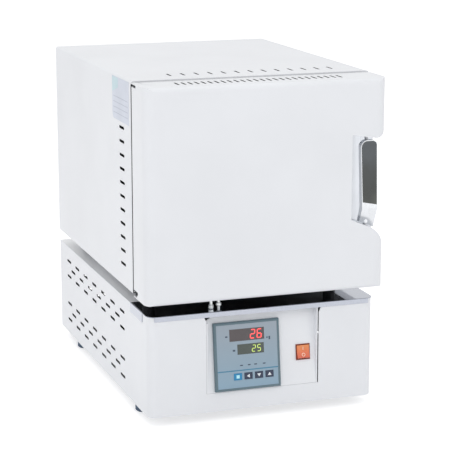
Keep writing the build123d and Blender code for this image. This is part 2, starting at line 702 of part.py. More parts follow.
def terminal_cover():
    """Box over the heater terminals and the temperature probe's head."""
    half = COVER_W / 2
    y0 = BODY_Y1 - SHEET
    box = block((-half, half), (y0, y0 + COVER_DEPTH), COVER_Z)
    box = chamfer(box.edges().filter_by(Axis.Y), 3.0)
    inside = (COVER_Z[0] + SHEET, COVER_Z[1] - SHEET)
    box -= block((-half + SHEET, half - SHEET), (y0, y0 + COVER_DEPTH - SHEET), inside)
    for side in (-1, 1):
        ear = sorted((side * half, side * (half + COVER_EAR)))
        box += block(ear, (y0, y0 + COVER_EAR_T), (CHAMBER_MID - 8, CHAMBER_MID + 8))
    return box - [screw_hole(at, (0, -1, 0), COVER_EAR_T) for at in COVER_SCREWS]


MOUTH_MARGIN = 4.0
BRACKET_W = (HINGE_X - 3.7, HINGE_X + 7.5)
BRACKET_Z = (BODY_Z0 + 3.5, DOOR_Z1 - SHEET - 0.8 - BRACKET_T)
CATCH_IN_X = 11.5                # from the side of the body
CATCH_X = BODY_X - CATCH_IN_X
CATCH_Z = CHAMBER_MID
CATCH_HEAD_R = 4.0
CATCH_REACH = DOOR_GAP + 12.0    # middle of the pin's head behind the door
CATCH_HOLE_R = 8.0


def front_frame():
    """Front plate of the body round the chamber's mouth."""
    inner = BODY_X - SHEET
    top = BODY_Z1 - SHEET
    plate = block((-inner, inner), (BODY_Y0, FRONT), (BODY_Z0 + SHEET, top))
    plate = fillet(plate.edges().filter_by(Axis.Y).group_by(Axis.Z)[-1], BODY_BEND_R - SHEET)
    half = CHAMBER_W / 2 + MOUTH_MARGIN
    plate -= block((-half, half), (BODY_Y0 - 1, FRONT + 1), (CHAMBER_Z0 - MOUTH_MARGIN, CHAMBER_Z1 + MOUTH_MARGIN))
    for z in BRACKET_Z:
        slit = (BRACKET_W[0] - FIT, BRACKET_W[1] + FIT)
        plate -= block(slit, (BODY_Y0 - 1, FRONT + 1), (z - FIT, z + BRACKET_T + FIT))
    plate -= bar(CATCH_HOLE_R, 4 * SHEET, (CATCH_X, BODY_Y0 - SHEET, CATCH_Z), (0, 1, 0))
    return plate


# ---------------------------------------------------------------- chamber and insulation
COIL_R = 2.5
COIL_RUNS = 6
COIL_MARGIN = 20.0               # from the chamber's floor and roof to the first runs
COIL_PITCH = (CHAMBER_H - 2 * COIL_MARGIN) / (COIL_RUNS - 1)
COIL_Y = (FRONT + 25.0, CHAMBER_Y1 - 20.0)
GROOVE_D = 7.0
GROOVE_W = 8.0


def coil_heights():
    middle = (COIL_RUNS - 1) / 2
    return [CHAMBER_MID + (i - middle) * COIL_PITCH for i in range(COIL_RUNS)]


def muffle():
    """Ceramic tube of square section, grooved for the heating wire."""
    outer = block((-MUFFLE_X, MUFFLE_X), (FRONT, CHAMBER_Y1), MUFFLE_Z)
    half = CHAMBER_W / 2
    tube = outer - block((-half, half), (FRONT, CHAMBER_Y1), (CHAMBER_Z0, CHAMBER_Z1))
    deep = half + GROOVE_D
    heights = coil_heights()
    reach = GROOVE_W / 2
    for z in heights:
        tube -= block((-deep, deep), (COIL_Y[0] - reach, COIL_Y[1] + reach), (z - reach, z + reach))
    for i in range(COIL_RUNS - 1):
        y = COIL_Y[1] if i % 2 == 0 else COIL_Y[0]
        tube -= block((-deep, deep), (y - reach, y + reach), (heights[i], heights[i + 1]))
    return tube


def muffle_back():
    """Rear wall of the muffle, pierced for the temperature probe."""
    wall = block((-MUFFLE_X, MUFFLE_X), (CHAMBER_Y1, MUFFLE_Y1), MUFFLE_Z)
    return wall - bar(PROBE_R + FIT, MUFFLE_T, (0, CHAMBER_Y1, PROBE_Z), (0, 1, 0))


def heating_coil(side):
    """Heating wire laid to and fro in the wall's grooves, as its outer envelope."""
    x = side * (CHAMBER_W / 2 + GROOVE_D - COIL_R - FIT)
    points = []
    for i, z in enumerate(coil_heights()):
        ends = COIL_Y if i % 2 == 0 else COIL_Y[::-1]
        points += [(x, ends[0], z), (x, ends[1], z)]
    ring = Plane(origin=points[0], z_dir=(0, 1, 0)) * RegularPolygon(COIL_R, 8)
    return sweep(ring, path=Polyline(*points), transition=Transition.RIGHT)


HEARTH_T = 8.0


def hearth_plate():
    """Loose ceramic plate on the chamber floor."""
    half = CHAMBER_W / 2 - 3
    plate = block((-half, half), (FRONT + 27, CHAMBER_Y1 - 6), (CHAMBER_Z0, CHAMBER_Z0 + HEARTH_T))
    return chamfer(plate.edges().group_by(Axis.Z)[-1], 1.5)


def insulation_boards():
    """Fibre boards round the muffle, by node name."""
    full_y = (FRONT, MUFFLE_Y1)
    back = block((-WOOL_X, WOOL_X), (MUFFLE_Y1, WOOL_Y1), WOOL_Z)
    back -= bar(PROBE_R + FIT, WOOL_T, (0, MUFFLE_Y1, PROBE_Z), (0, 1, 0))
    return {
        "insulation_sides": joined(
            [block((-WOOL_X, -MUFFLE_X), full_y, MUFFLE_Z), block((MUFFLE_X, WOOL_X), full_y, MUFFLE_Z)]
        ),
        "insulation_top": block((-WOOL_X, WOOL_X), full_y, (MUFFLE_Z[1], WOOL_Z[1])),
        "insulation_bottom": block((-WOOL_X, WOOL_X), full_y, (WOOL_Z[0], MUFFLE_Z[0])),
        "insulation_back": back,
    }


def inner_case():
    """Sheet box round the insulation, open at the front."""
    x = WOOL_X + LINER_T
    z = (WOOL_Z[0] - LINER_T, WOOL_Z[1] + LINER_T)
    case = block((-x, x), (FRONT, WOOL_Y1 + LINER_T), z)
    case -= block((-WOOL_X, WOOL_X), (FRONT, WOOL_Y1), WOOL_Z)
    return case - bar(PROBE_R + FIT, 4 * LINER_T, (0, WOOL_Y1 - 1, PROBE_Z), (0, 1, 0))


LEG_IN = 30.0                    # from the side of the insulation
LEG_W = 30.0


def case_legs():
    """Channels that carry the inner case above the floor plate."""
    low = BODY_Z0 + 2 * SHEET
    high = WOOL_Z[0] - LINER_T
    legs = []
    for side in (-1, 1):
        x = sorted((side * (WOOL_X - LEG_IN - LEG_W), side * (WOOL_X - LEG_IN)))
        leg = block(x, (FRONT + 20, WOOL_Y1 - 20), (low, high))
        leg -= block((x[0] + SHEET, x[1] - SHEET), (FRONT + 20, WOOL_Y1 - 20), (low, high - SHEET))
        legs.append(leg)
    return joined(legs)


def thermocouple():
    """Ceramic sheath into the chamber with its connection head at the back."""
    tip = CHAMBER_Y1 - 30.0
    sheath = bar(PROBE_R, WOOL_Y1 + LINER_T + 12 - tip, (0, tip, PROBE_Z), (0, 1, 0))
    head = bar(14.0, 26.0, (0, WOOL_Y1 + LINER_T, PROBE_Z), (0, 1, 0), 16)
    return sheath + head


# ---------------------------------------------------------------- hinge
def hinge_brackets():
    """Plates that reach forward from inside the body to carry the door's pins."""
    plates = []
    for z in BRACKET_Z:
        y = (HINGE_Y - 5.5, FRONT + 30.0)
        plate = block(BRACKET_W, y, (z, z + BRACKET_T))
        corners = plate.edges().filter_by(Axis.Z).group_by(Axis.Y)[0]
        plate = fillet(corners, 3.5)
        leg = (z, z + 30) if z < CHAMBER_Z0 else (z + BRACKET_T - 30, z + BRACKET_T)
        plate += block((BRACKET_W[0], BRACKET_W[0] + BRACKET_T), (FRONT + 2, FRONT + 30), leg)
        plates.append(plate - rod(HINGE_PIN_R + RUN, BRACKET_T, (HINGE_X, HINGE_Y, z)))
    return joined(plates)


HINGE_BLOCK_H = 20.0
HINGE_GAP = 0.5
HINGE_BLOCK_X = (-BODY_X + SHEET + FIT, HINGE_X + 9.5)
HINGE_BLOCK_Y = (HINGE_Y - 8.0, DOOR_Y1 - SHEET)


def hinge_block_spans():
    low = BRACKET_Z[0] + BRACKET_T + HINGE_GAP
    high = BRACKET_Z[1] - HINGE_GAP
    return [(low, low + HINGE_BLOCK_H), (high - HINGE_BLOCK_H, high)]


def hinge_blocks():
    """Bored blocks inside the door that turn on the pins."""
    blocks = []
    for z in hinge_block_spans():
        body = block(HINGE_BLOCK_X, HINGE_BLOCK_Y, z)
        blocks.append(body - rod(HINGE_PIN_R + RUN, HINGE_BLOCK_H, (HINGE_X, HINGE_Y, z[0])))
    return joined(blocks)


def hinge_pins():
    reach = BRACKET_T + HINGE_GAP + HINGE_BLOCK_H - 2
    low = rod(HINGE_PIN_R, reach, (HINGE_X, HINGE_Y, BRACKET_Z[0]))
    high = rod(HINGE_PIN_R, reach, (HINGE_X, HINGE_Y, BRACKET_Z[1] + BRACKET_T - reach))
    return joined([low, high])


# ---------------------------------------------------------------- door
DOOR_SLOT_COUNT = 26
DOOR_SLOT_PITCH = 9.3
DOOR_SLOT_MID_X = -2.5
DOOR_SLOT_Y = DOOR_Y1 - 28.0
SEAM_W = 1.0
SEAM_IN_X = 9.5                  # from the door's left side
SEAM_Y = DOOR_Y1 - 26.0
SEAM_R = 13.0
NOTCH_X = BODY_X - NOTCH_W
NOTCH_Z = (DOOR_Z0 + NOTCH_Z0, DOOR_Z0 + NOTCH_Z0 + NOTCH_H)
NOTCH_Y1 = DOOR_Y0 + NOTCH_D
HINGE_RELIEF_Y = HINGE_Y - 14.0


def door_volume(inset):
    """Door outline with rounded upright edges and rounded top and bottom front edges."""
    y0 = DOOR_Y0 + inset
    z0 = DOOR_Z0 + inset
    z1 = DOOR_Z1 - inset
    plan = prism(front_rounded(BODY_X - inset, y0, DOOR_Y1, DOOR_EDGE_R - inset), z0, z1)
    side = block((-BODY_X, BODY_X), (y0, DOOR_Y1), (z0, z1))
    front = side.edges().filter_by(Axis.X).group_by(Axis.Y)[0]
    side = fillet(front.sort_by(Axis.Z)[-1], DOOR_TOP_R - inset)
    front = side.edges().filter_by(Axis.X).group_by(Axis.Y)[0]
    side = fillet(front.sort_by(Axis.Z)[0], DOOR_BOTTOM_R - inset)
    return plan & side


def notch_outline():
    """Front view of the handle recess, flared where it leaves the door's side."""
    side = BODY_X
    far = BODY_X + 20
    low, high = NOTCH_Z
    roof = high - NOTCH_TOP_FALL
    rt, rb, drop = NOTCH_FLARE_TOP, NOTCH_FLARE_LOW, NOTCH_FLARE_DROP
    part_way = 1 - cos(radians(45))
    top = ThreePointArc(
        (side - rt, roof), (side - rt * part_way, roof + rt * part_way), (side, roof + rt)
    )
    bottom = ThreePointArc(
        (side, low - drop), (side - rb * 0.45, low - drop * 0.37), (side - rb, low)
    )
    rest = Polyline((side, roof + rt), (far, roof + rt), (far, low - drop), (side, low - drop))
    left = Polyline(
        (side - rb, low), (NOTCH_X, low + NOTCH_FLOOR_FALL), (NOTCH_X, high), (side - rt, roof)
    )
    return Plane.XZ * make_face([top, rest, bottom, left])


def notch_prism(grow, y0, y1):
    """The recess as a prism from y0 to y1, its outline grown by a wall."""
    outline = notch_outline()
    if grow:
        outline = offset(outline, grow)
    return Pos(0, y0, 0) * extrude(outline, -(y1 - y0))


def hinge_relief():
    """Clearance in the door's left side and rear plate for the fixed brackets."""
    low = BRACKET_Z[0] + BRACKET_T + HINGE_GAP - RUN
    y = (HINGE_RELIEF_Y, DOOR_Y1 + 1)
    x = (-BODY_X - 1, BRACKET_W[1] + 6)
    cuts = [block(x, y, (BRACKET_Z[0] - 1.5, low))]
    cuts.append(block(x, y, (BRACKET_Z[1] - HINGE_GAP + RUN, DOOR_Z1 - SHEET)))
    wedge = [(HINGE_RELIEF_Y, DOOR_Z0 + 7), (HINGE_RELIEF_Y, low), (DOOR_Y1 + 1, low),
             (DOOR_Y1 + 1, DOOR_Z0 + SHEET), (HINGE_RELIEF_Y + 6, DOOR_Z0 + SHEET)]
    cuts.append(side_prism(wedge, -BODY_X - 1, -BODY_X + SHEET))
    return cuts


def corner_seam():
    """Open seam round the tab of the door's top sheet that covers the upper hinge."""
    half = BODY_X - SEAM_IN_X
    ring = front_rounded(half, SEAM_Y, DOOR_Y1 + 5, SEAM_R)
    ring -= front_rounded(half - SEAM_W, SEAM_Y + SEAM_W, DOOR_Y1 + 6, SEAM_R - SEAM_W)
    seam = prism(ring, DOOR_Z1 - 2 * SHEET, DOOR_Z1 + 1)
    return seam & block((-half, -half + SEAM_R), (SEAM_Y, DOOR_Y1 + 1), (DOOR_Z0, DOOR_Z1 + 1))


def door_skin():
    """Outer sheet of the door: front, sides, top and bottom, open at the back."""
    skin = door_volume(0) - door_volume(SHEET)
    back = block((-BODY_X + SHEET, BODY_X - SHEET), (DOOR_Y1 - SHEET, DOOR_Y1 + 1), (DOOR_Z0 + SHEET, DOOR_Z1 - SHEET))
    skin -= back
    skin -= notch_prism(0, DOOR_Y0 - 1, NOTCH_Y1)
    skin -= hinge_relief()
    skin -= corner_seam()
    middle = (DOOR_SLOT_COUNT - 1) / 2
    places = [
        (DOOR_SLOT_MID_X + (i - middle) * DOOR_SLOT_PITCH, DOOR_SLOT_Y, DOOR_Z1) for i in range(DOOR_SLOT_COUNT)
    ]
    return skin - slots_along_y(TOP_SLOT_L, TOP_SLOT_W, places, 3 * SHEET, "Z")


PLUG_GAP_X = 2.5                 # between the plug and the chamber's walls
PLUG_GAP_Z = 2.0
PLUG_W = CHAMBER_W - 2 * PLUG_GAP_X
PLUG_H = CHAMBER_H - 2 * PLUG_GAP_Z
PLUG_REACH = 27.0
PLUG_TAPER = 3.5


def door_inner_plate():
    """Rear sheet of the door, pierced by the plug's seat and the catch pin."""
    edge = SHEET
    plate = block((-BODY_X + edge, BODY_X - edge), (DOOR_Y1 - SHEET, DOOR_Y1), (DOOR_Z0 + edge, DOOR_Z1 - edge))
    plate -= hinge_relief()
    plate -= plug_box(0, DOOR_Y1 - 2 * SHEET, DOOR_Y1 + 1)
    return plate - bar(PIN_R + RUN, 2 * SHEET, (CATCH_X, DOOR_Y1 - 2 * SHEET, CATCH_Z), (0, 1, 0))


def plug_box(inset, y0, y1):
    half = PLUG_W / 2 - inset
    z = (CHAMBER_MID - PLUG_H / 2 + inset, CHAMBER_MID + PLUG_H / 2 - inset)
    return block((-half, half), (y0, y1), z)


PLUG_ROOT = DOOR_Y1 - 25.0


def door_plug():
    """Ceramic fibre plug, tapered where it enters the chamber's mouth."""
    root = plug_box(0, PLUG_ROOT, DOOR_Y1)
    face = root.faces().sort_by(Axis.Y)[-1]
    tip = Pos(0, PLUG_REACH, 0) * offset(face, -PLUG_TAPER)
    nose = loft([face, tip.face()])
    return root + nose


def door_insulation():
    """Fibre board that fills the door round and before the plug."""
    y0 = DOOR_Y0 + SHEET + FIT
    z = (DOOR_Z0 + 30.0, DOOR_Z1 - 30.0)
    board = block((-BODY_X + 25.0, NOTCH_X - 3 * SHEET), (y0, DOOR_Y1 - SHEET), z)
    return board - plug_box(0, PLUG_ROOT, DOOR_Y1)


def catch_pin():
    """Pin on the door whose head, tapered both ways, snaps between the catch's rollers."""
    at = (CATCH_X, DOOR_Y1 - SHEET - 3, CATCH_Z)
    stem = bar(PIN_R, CATCH_REACH + 3 + SHEET, at, (0, 1, 0))
    stem += bar(5.0, 3.0, at, (0, 1, 0))
    start = DOOR_Y1 + CATCH_REACH - CATCH_HEAD_R
    head = bar(CATCH_HEAD_R, 2 * CATCH_HEAD_R, (CATCH_X, start, CATCH_Z), (0, 1, 0))
    ends = head.faces().sort_by(Axis.Y)
    return stem + chamfer(ends[0].edges() + ends[-1].edges(), 2.4, 1.4)


CATCH_CASE_W = 18.0
ROLLER_R = 5.0
ROLLER_PIN_R = 1.5
ROLLER_SPREAD = 9.5              # roller axes above and below the pin


def roller_axes():
    x = CATCH_X - CATCH_CASE_W / 2
    return [(x, FRONT + 9.0, CATCH_Z + side * ROLLER_SPREAD) for side in (-1, 1)]


def catch_body():
    """Channel behind the front frame that holds the catch's rollers."""
    x, z = CATCH_X, CATCH_Z
    y = (FRONT, FRONT + 26.0)
    half = CATCH_CASE_W / 2
    case = block((x - half, x + half), y, (z - 16, z + 16))
    case -= block((x - half + SHEET, x + half - SHEET), (y[0], y[1] - SHEET), (z - 14.5, z + 14.5))
    for at in roller_axes():
        case -= bar((ROLLER_PIN_R + RUN) / cos(radians(15)), CATCH_CASE_W, at, (1, 0, 0))
    return case


def catch_roller(at):
    """Nylon roller with its pin, across the path of the door's catch pin."""
    x, y, z = at
    wide = CATCH_CASE_W - 2 * SHEET - 2 * FIT
    barrel = rod(ROLLER_R, wide, (CATCH_X - wide / 2, y, z), (1, 0, 0))
    return barrel + bar(ROLLER_PIN_R, CATCH_CASE_W, (x, y, z), (1, 0, 0))


# ---------------------------------------------------------------- handle
LEVER_X0 = NOTCH_X + LEVER_INSET
LEVER_X1 = LEVER_X0 + LEVER_W
LEVER_Y0 = DOOR_Y0 + 1.1
LEVER_Z0 = NOTCH_Z[0] - 2.0
LEVER_Z1 = NOTCH_Z[1] - 8.4
LEVER_FOOT_RISE = 9.5            # its lower edge follows the floor of the recess
LEVER_BEND_Z = LEVER_Z0 + 29.5
LEVER_SWEEP_BACK = 14.0          # how far the lower end leans back
LEVER_PIVOT = (LEVER_X0 + 13.0, LEVER_Y0 + 12.0)
LEVER_BARREL_R = 4.0
SCOOP_R = 40.0
SCOOP_BITE = 0.6                 # the scoop meets the wall and the floor at a slight angle
CUP_WALL = 1.5


def handle_cup():
    """Plated cup that lines the recess, with a scooped floor behind the lever."""
    cup = notch_prism(CUP_WALL, DOOR_Y0, NOTCH_Y1 + CUP_WALL) & door_volume(SHEET + RUN)
    cup &= block((0, BODY_X - SHEET), (DOOR_Y0, NOTCH_Y1 + CUP_WALL), (DOOR_Z0, DOOR_Z1))
    hollow = notch_prism(0, DOOR_Y0 - 1, NOTCH_Y1)
    x, y = NOTCH_X + SCOOP_R - SCOOP_BITE, NOTCH_Y1 - SCOOP_R + SCOOP_BITE
    corner = block((NOTCH_X, x), (y, NOTCH_Y1), NOTCH_Z) - rod(SCOOP_R, NOTCH_H, (x, y, NOTCH_Z[0]))
    cup -= hollow - corner
    cut = rod(PIN_R + RUN, NOTCH_H + 4 * CUP_WALL, (*LEVER_PIVOT, NOTCH_Z[0] - 2 * CUP_WALL))
    return cup - cut


def lever_outline(inset, low, rise, radii):
    """Front view of the lever or its inlay, with the two top corners rounded."""
    x0, x1, top = LEVER_X0 + inset, LEVER_X1 - inset, LEVER_Z1 - inset
    slope = (top - low) / (LEVER_Z1 - LEVER_BEND_Z)
    lean, spread = LEVER_LEAN * min(slope, 1), LEVER_SPREAD * min(slope, 1)
    points = [(x0, top), (x1, top), (x1 + spread, low), (x0 + lean, low + rise)]
    if low < LEVER_BEND_Z:
        points.insert(2, (x1 + spread, LEVER_BEND_Z))
        points.append((x0 + lean, LEVER_BEND_Z))
    face = Plane.XZ * make_face(Polyline(*points, close=True))
    face = fillet(face.vertices().group_by(Axis.Z)[-1].sort_by(Axis.X)[0], radii[0])
    return fillet(face.vertices().group_by(Axis.Z)[-1].sort_by(Axis.X)[-1], radii[1])


def latch_lever():
    """Pull lever: flat upright grip, lower end swept back, hollow behind."""
    y = LEVER_Y0
    lean = LEVER_SWEEP_BACK
    t = LEVER_T
    side = [(y, LEVER_Z1), (y + t, LEVER_Z1), (y + t, LEVER_BEND_Z + 2), (y + t + lean - 3, LEVER_Z0 + 3),
            (y + t + lean - 3, LEVER_Z0), (y + lean, LEVER_Z0), (y, LEVER_BEND_Z)]
    front = lever_outline(0, LEVER_Z0, LEVER_FOOT_RISE, (10.0, 7.0))
    lever = side_prism(side, LEVER_X0, LEVER_X1 + LEVER_SPREAD)
    lever &= Pos(0, y - 1, 0) * extrude(front, -(t + lean + 2))
    lever -= block((LEVER_X0 + 11, LEVER_X1 - 3), (y + 3.5, y + t + 1), (LEVER_BEND_Z + 6, LEVER_Z1 - 8))
    px, py = LEVER_PIVOT
    low = LEVER_Z0 + LEVER_FOOT_RISE - 2
    lever += rod(LEVER_BARREL_R, LEVER_Z1 - 6 - low, (px, py, low))
    return lever - rod(PIN_R + RUN, NOTCH_H, (px, py, LEVER_Z0 - 1))


INLAY_T = 0.8
INLAY_IN = 1.2
INLAY_UP = 5.0                   # its low corner above the lever's bend
INLAY_SLOPE = 4.0


def lever_inlay():
    """Dark gloss plate on the front of the lever."""
    front = lever_outline(INLAY_IN, LEVER_BEND_Z + INLAY_UP, INLAY_SLOPE, (9.0, 6.2))
    return Pos(0, LEVER_Y0 - INLAY_T, 0) * extrude(front, -INLAY_T)


def handle_pin():
    return rod(PIN_R, NOTCH_H + 2 * CUP_WALL, (*LEVER_PIVOT, NOTCH_Z[0] - CUP_WALL))


# ---------------------------------------------------------------- write every sub-part
def build():
    save("feet", feet())
    save("foot_screws", foot_screws())
    save("base_shell", base_shell())
    save("base_bottom", base_bottom())
    save("base_back", base_back())
    save("base_top", base_top())
    save("standoffs", standoffs())
    save("sill_plate", sill_plate())
    save("door_switch", switch_body())
    save("door_switch_plunger", switch_plunger())
    save("door_stop_post", stop_post())
    save("control_panel", control_panel())
    save("controller_case", controller_case())
    save("controller_face", controller_face())
    save("display_upper", display(UPPER_WINDOW))
    save("display_lower", display(LOWER_WINDOW))
    for index, name in enumerate(("key_set", "key_left", "key_down", "key_up")):
        save(name, key(index))
    save("switch_housing", switch_housing())
    save("switch_rocker", switch_rocker())
    save("cable_gland", cable_gland())
    save("fuse_holder", fuse_holder())
    save("relay_heatsink", relay_heatsink())
    save("solid_state_relay", solid_state_relay())
    save("terminal_block", terminal_block())
    save("outer_casing", outer_casing())
    save("body_bottom", body_bottom())
    save("back_panel", back_panel())
    save("panel_screws", panel_screws())
    save("terminal_cover", terminal_cover())
    save("front_frame", front_frame())
    save("muffle", muffle())
    save("muffle_back", muffle_back())
    save("heating_coils", joined([heating_coil(-1), heating_coil(1)]))
    save("hearth_plate", hearth_plate())
    for name, board in insulation_boards().items():
        save(name, board)
    save("inner_case", inner_case())
    save("case_legs", case_legs())
    save("thermocouple", thermocouple())
    save("hinge_brackets", hinge_brackets())
    save("hinge_pins", hinge_pins())
    save("hinge_blocks", hinge_blocks())
    save("door_skin", door_skin())
    save("door_inner_plate", door_inner_plate())
    save("door_insulation", door_insulation())
    save("door_plug", door_plug())
    save("catch_pin", catch_pin())
    save("catch_body", catch_body())
    for name, at in zip(("catch_roller_lower", "catch_roller_upper"), roller_axes()):
        save(name, catch_roller(at))
    save("handle_cup", handle_cup())
    save("handle_pin", handle_pin())
    save("latch_lever", latch_lever())
    save("lever_inlay", lever_inlay())


build()
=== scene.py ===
"""Looks of the muffle furnace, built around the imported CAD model."""
import math

import bmesh
import bpy
from mathutils import Matrix, Vector

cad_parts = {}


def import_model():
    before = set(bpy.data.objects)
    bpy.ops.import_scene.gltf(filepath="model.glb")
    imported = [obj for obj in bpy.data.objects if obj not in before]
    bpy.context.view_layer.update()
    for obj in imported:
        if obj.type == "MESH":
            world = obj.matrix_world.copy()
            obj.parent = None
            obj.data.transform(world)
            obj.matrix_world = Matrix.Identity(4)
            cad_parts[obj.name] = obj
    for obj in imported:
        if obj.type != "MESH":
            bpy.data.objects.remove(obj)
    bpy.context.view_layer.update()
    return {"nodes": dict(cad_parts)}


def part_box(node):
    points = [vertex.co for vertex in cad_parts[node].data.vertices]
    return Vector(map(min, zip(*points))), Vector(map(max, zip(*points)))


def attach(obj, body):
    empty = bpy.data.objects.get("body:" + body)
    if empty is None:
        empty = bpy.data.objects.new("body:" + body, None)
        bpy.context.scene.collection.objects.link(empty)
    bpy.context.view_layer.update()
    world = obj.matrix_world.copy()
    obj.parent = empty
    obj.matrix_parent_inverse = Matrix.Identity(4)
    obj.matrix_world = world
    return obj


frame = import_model()
NODES = frame["nodes"]
MM = 0.001


# ---------------------------------------------------------------- camera
CAMERA_PLACE = (-0.79049, -2.37289, 0.78282)
CAMERA_PITCH = 0.224108911        # radians below the level
CAMERA_YAW = 0.336774939          # radians to the right of straight ahead
CAMERA_ROLL = 0.000904983
LENS, SENSOR_W = 132.28, 36.0     # millimetres


def camera():
    """Camera in front of the furnace and to its left, a little above it."""
    pitch, yaw, roll = CAMERA_PITCH, CAMERA_YAW, CAMERA_ROLL
    forward = Vector((math.sin(yaw) * math.cos(pitch), math.cos(yaw) * math.cos(pitch), -math.sin(pitch)))
    right = Vector((math.cos(yaw), -math.sin(yaw), 0.0))
    up = right.cross(forward)
    side = math.cos(roll) * right + math.sin(roll) * up
    top = -math.sin(roll) * right + math.cos(roll) * up
    turn = Matrix((side, top, -forward)).transposed()
    data = bpy.data.cameras.new("camera")
    data.sensor_width = SENSOR_W
    data.lens = LENS
    data.clip_start = 0.05
    data.clip_end = 50.0
    cam = bpy.data.objects.new("camera", data)
    cam.matrix_world = Matrix.Translation(CAMERA_PLACE) @ turn.to_4x4()
    bpy.context.scene.collection.objects.link(cam)
    bpy.context.scene.camera = cam


camera()


# ---------------------------------------------------------------- material kit
def linear(r, g, b):
    """Linear colour from 0 to 255 screen values."""
    out = []
    for v in (r, g, b):
        v /= 255.0
        out.append(v / 12.92 if v <= 0.04045 else ((v + 0.055) / 1.055) ** 2.4)
    return (*out, 1.0)


class Tree:
    """A node material under construction."""

    def __init__(self, name):
        self.mat = bpy.data.materials.new(name)
        self.mat.use_nodes = True
        self.tree = self.mat.node_tree
        self.shader = self.tree.nodes["Principled BSDF"]
        self.coord = self.node("ShaderNodeTexCoord")

    def node(self, kind, **values):
        """A new node with its sockets or settings filled in."""
        n = self.tree.nodes.new(kind)
        for key, value in values.items():
            if key in n.inputs:
                n.inputs[key].default_value = value
            else:
                setattr(n, key, value)
        return n

    def link(self, a, b):
        self.tree.links.new(a, b)

    def noise(self, scale, detail=2.0, stretch=None, rough=0.5):
        """Noise on the object's own coordinates, drawn out where a stretch is below 1."""
        n = self.node("ShaderNodeTexNoise", Scale=scale, Detail=detail, Roughness=rough)
        source = self.coord.outputs["Object"]
        if stretch:
            mapping = self.node("ShaderNodeMapping")
            mapping.inputs["Scale"].default_value = stretch
            self.link(source, mapping.inputs["Vector"])
            source = mapping.outputs["Vector"]
        self.link(source, n.inputs["Vector"])
        return n.outputs["Fac"]

    def ramp(self, fac, stops):
        """Colour ramp with (position, linear colour) stops."""
        n = self.node("ShaderNodeValToRGB")
        ramp = n.color_ramp
        while len(ramp.elements) < len(stops):
            ramp.elements.new(0.5)
        for element, (pos, color) in zip(ramp.elements, stops):
            element.position = pos
            element.color = color
        self.link(fac, n.inputs["Fac"])
        return n.outputs["Color"]

    def range(self, fac, low, high):
        """Value that runs from low to high where the factor runs from 0 to 1."""
        n = self.node("ShaderNodeMapRange")
        n.inputs["To Min"].default_value = low
        n.inputs["To Max"].default_value = high
        self.link(fac, n.inputs["Value"])
        return n.outputs["Result"]

    def bump(self, height, strength, distance, below=None):
        """Normal that follows a height, on top of another normal if one is given."""
        n = self.node("ShaderNodeBump", Strength=strength, Distance=distance)
        self.link(height, n.inputs["Height"])
        if below:
            self.link(below, n.inputs["Normal"])
        return n.outputs["Normal"]

    def height(self, node):
        """0 at the foot of a node and 1 at its top."""
        low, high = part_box(node)
        parts = self.node("ShaderNodeSeparateXYZ")
        self.link(self.coord.outputs["Object"], parts.inputs[0])
        n = self.node("ShaderNodeMapRange")
        n.inputs["From Min"].default_value = low[2]
        n.inputs["From Max"].default_value = high[2]
        self.link(parts.outputs["Z"], n.inputs["Value"])
        return n.outputs["Result"]

    def within(self, box):
        """1 inside a box of (low, high) limits on each axis, 0 outside it."""
        parts = self.node("ShaderNodeSeparateXYZ")
        self.link(self.coord.outputs["Object"], parts.inputs[0])
        result = None
        for axis, (low, high) in zip("XYZ", box):
            near = self.node("ShaderNodeMath", operation="COMPARE")
            near.inputs[1].default_value = (low + high) / 2
            near.inputs[2].default_value = (high - low) / 2
            self.link(parts.outputs[axis], near.inputs[0])
            if result is None:
                result = near.outputs[0]
                continue
            both = self.node("ShaderNodeMath", operation="MULTIPLY")
            self.link(result, both.inputs[0])
            self.link(near.outputs[0], both.inputs[1])
            result = both.outputs[0]
        return result

    def mix(self, fac, a, b):
        """Colour a where the factor is 0 and the plain colour b where it is 1."""
        n = self.node("ShaderNodeMix", data_type="RGBA")
        self.link(fac, n.inputs[0])
        self.link(a, n.inputs[6])
        n.inputs[7].default_value = b
        return n.outputs[2]

    def set(self, **values):
        """Fill in sockets of the shader that are the same all over."""
        for key, value in values.items():
            self.shader.inputs[key.replace("_", " ")].default_value = value


def shade(color, factor):
    """Lighter or darker copy of a linear colour."""
    return (*[min(1.0, c * factor) for c in color[:3]], 1.0)


def paint(name, rgb, rough=0.38, shade_boxes=(), shade_rgb=(58, 60, 64)):
    """Powder-coated sheet with fine orange peel, and a dark colour inside the given boxes as painted shade.
    """
    t = Tree(name)
    base = linear(*rgb)
    color = t.ramp(t.noise(9.0, detail=3.0), [(0.3, shade(base, 0.975)), (0.7, shade(base, 1.01))])
    for box in shade_boxes:
        color = t.mix(t.within(box), color, linear(*shade_rgb))
    t.link(color, t.shader.inputs["Base Color"])
    t.link(t.range(t.noise(60.0), rough - 0.04, rough + 0.05), t.shader.inputs["Roughness"])
    peel = t.bump(t.noise(900.0), strength=0.06, distance=0.2 * MM)
    wave = t.bump(t.noise(26.0, detail=1.0), strength=0.02, distance=0.6 * MM, below=peel)
    t.link(wave, t.shader.inputs["Normal"])
    return t.mat


def metal(name, rgb, rough, grain=(1.0, 1.0, 1.0), scale=300.0, depth=0.03, marks=0.03):
    """Metal with a fine grain, drawn out one way where a stretch is given, and faint marks."""
    t = Tree(name)
    base = linear(*rgb)
    t.set(Metallic=1.0)
    streak = t.noise(scale, detail=3.0, stretch=grain)
    t.link(t.ramp(streak, [(0.25, shade(base, 0.93)), (0.75, shade(base, 1.03))]),
           t.shader.inputs["Base Color"])
    t.link(t.range(t.noise(40.0, detail=4.0), rough, rough + marks), t.shader.inputs["Roughness"])
    t.link(t.bump(streak, strength=depth, distance=0.2 * MM), t.shader.inputs["Normal"])
    return t.mat


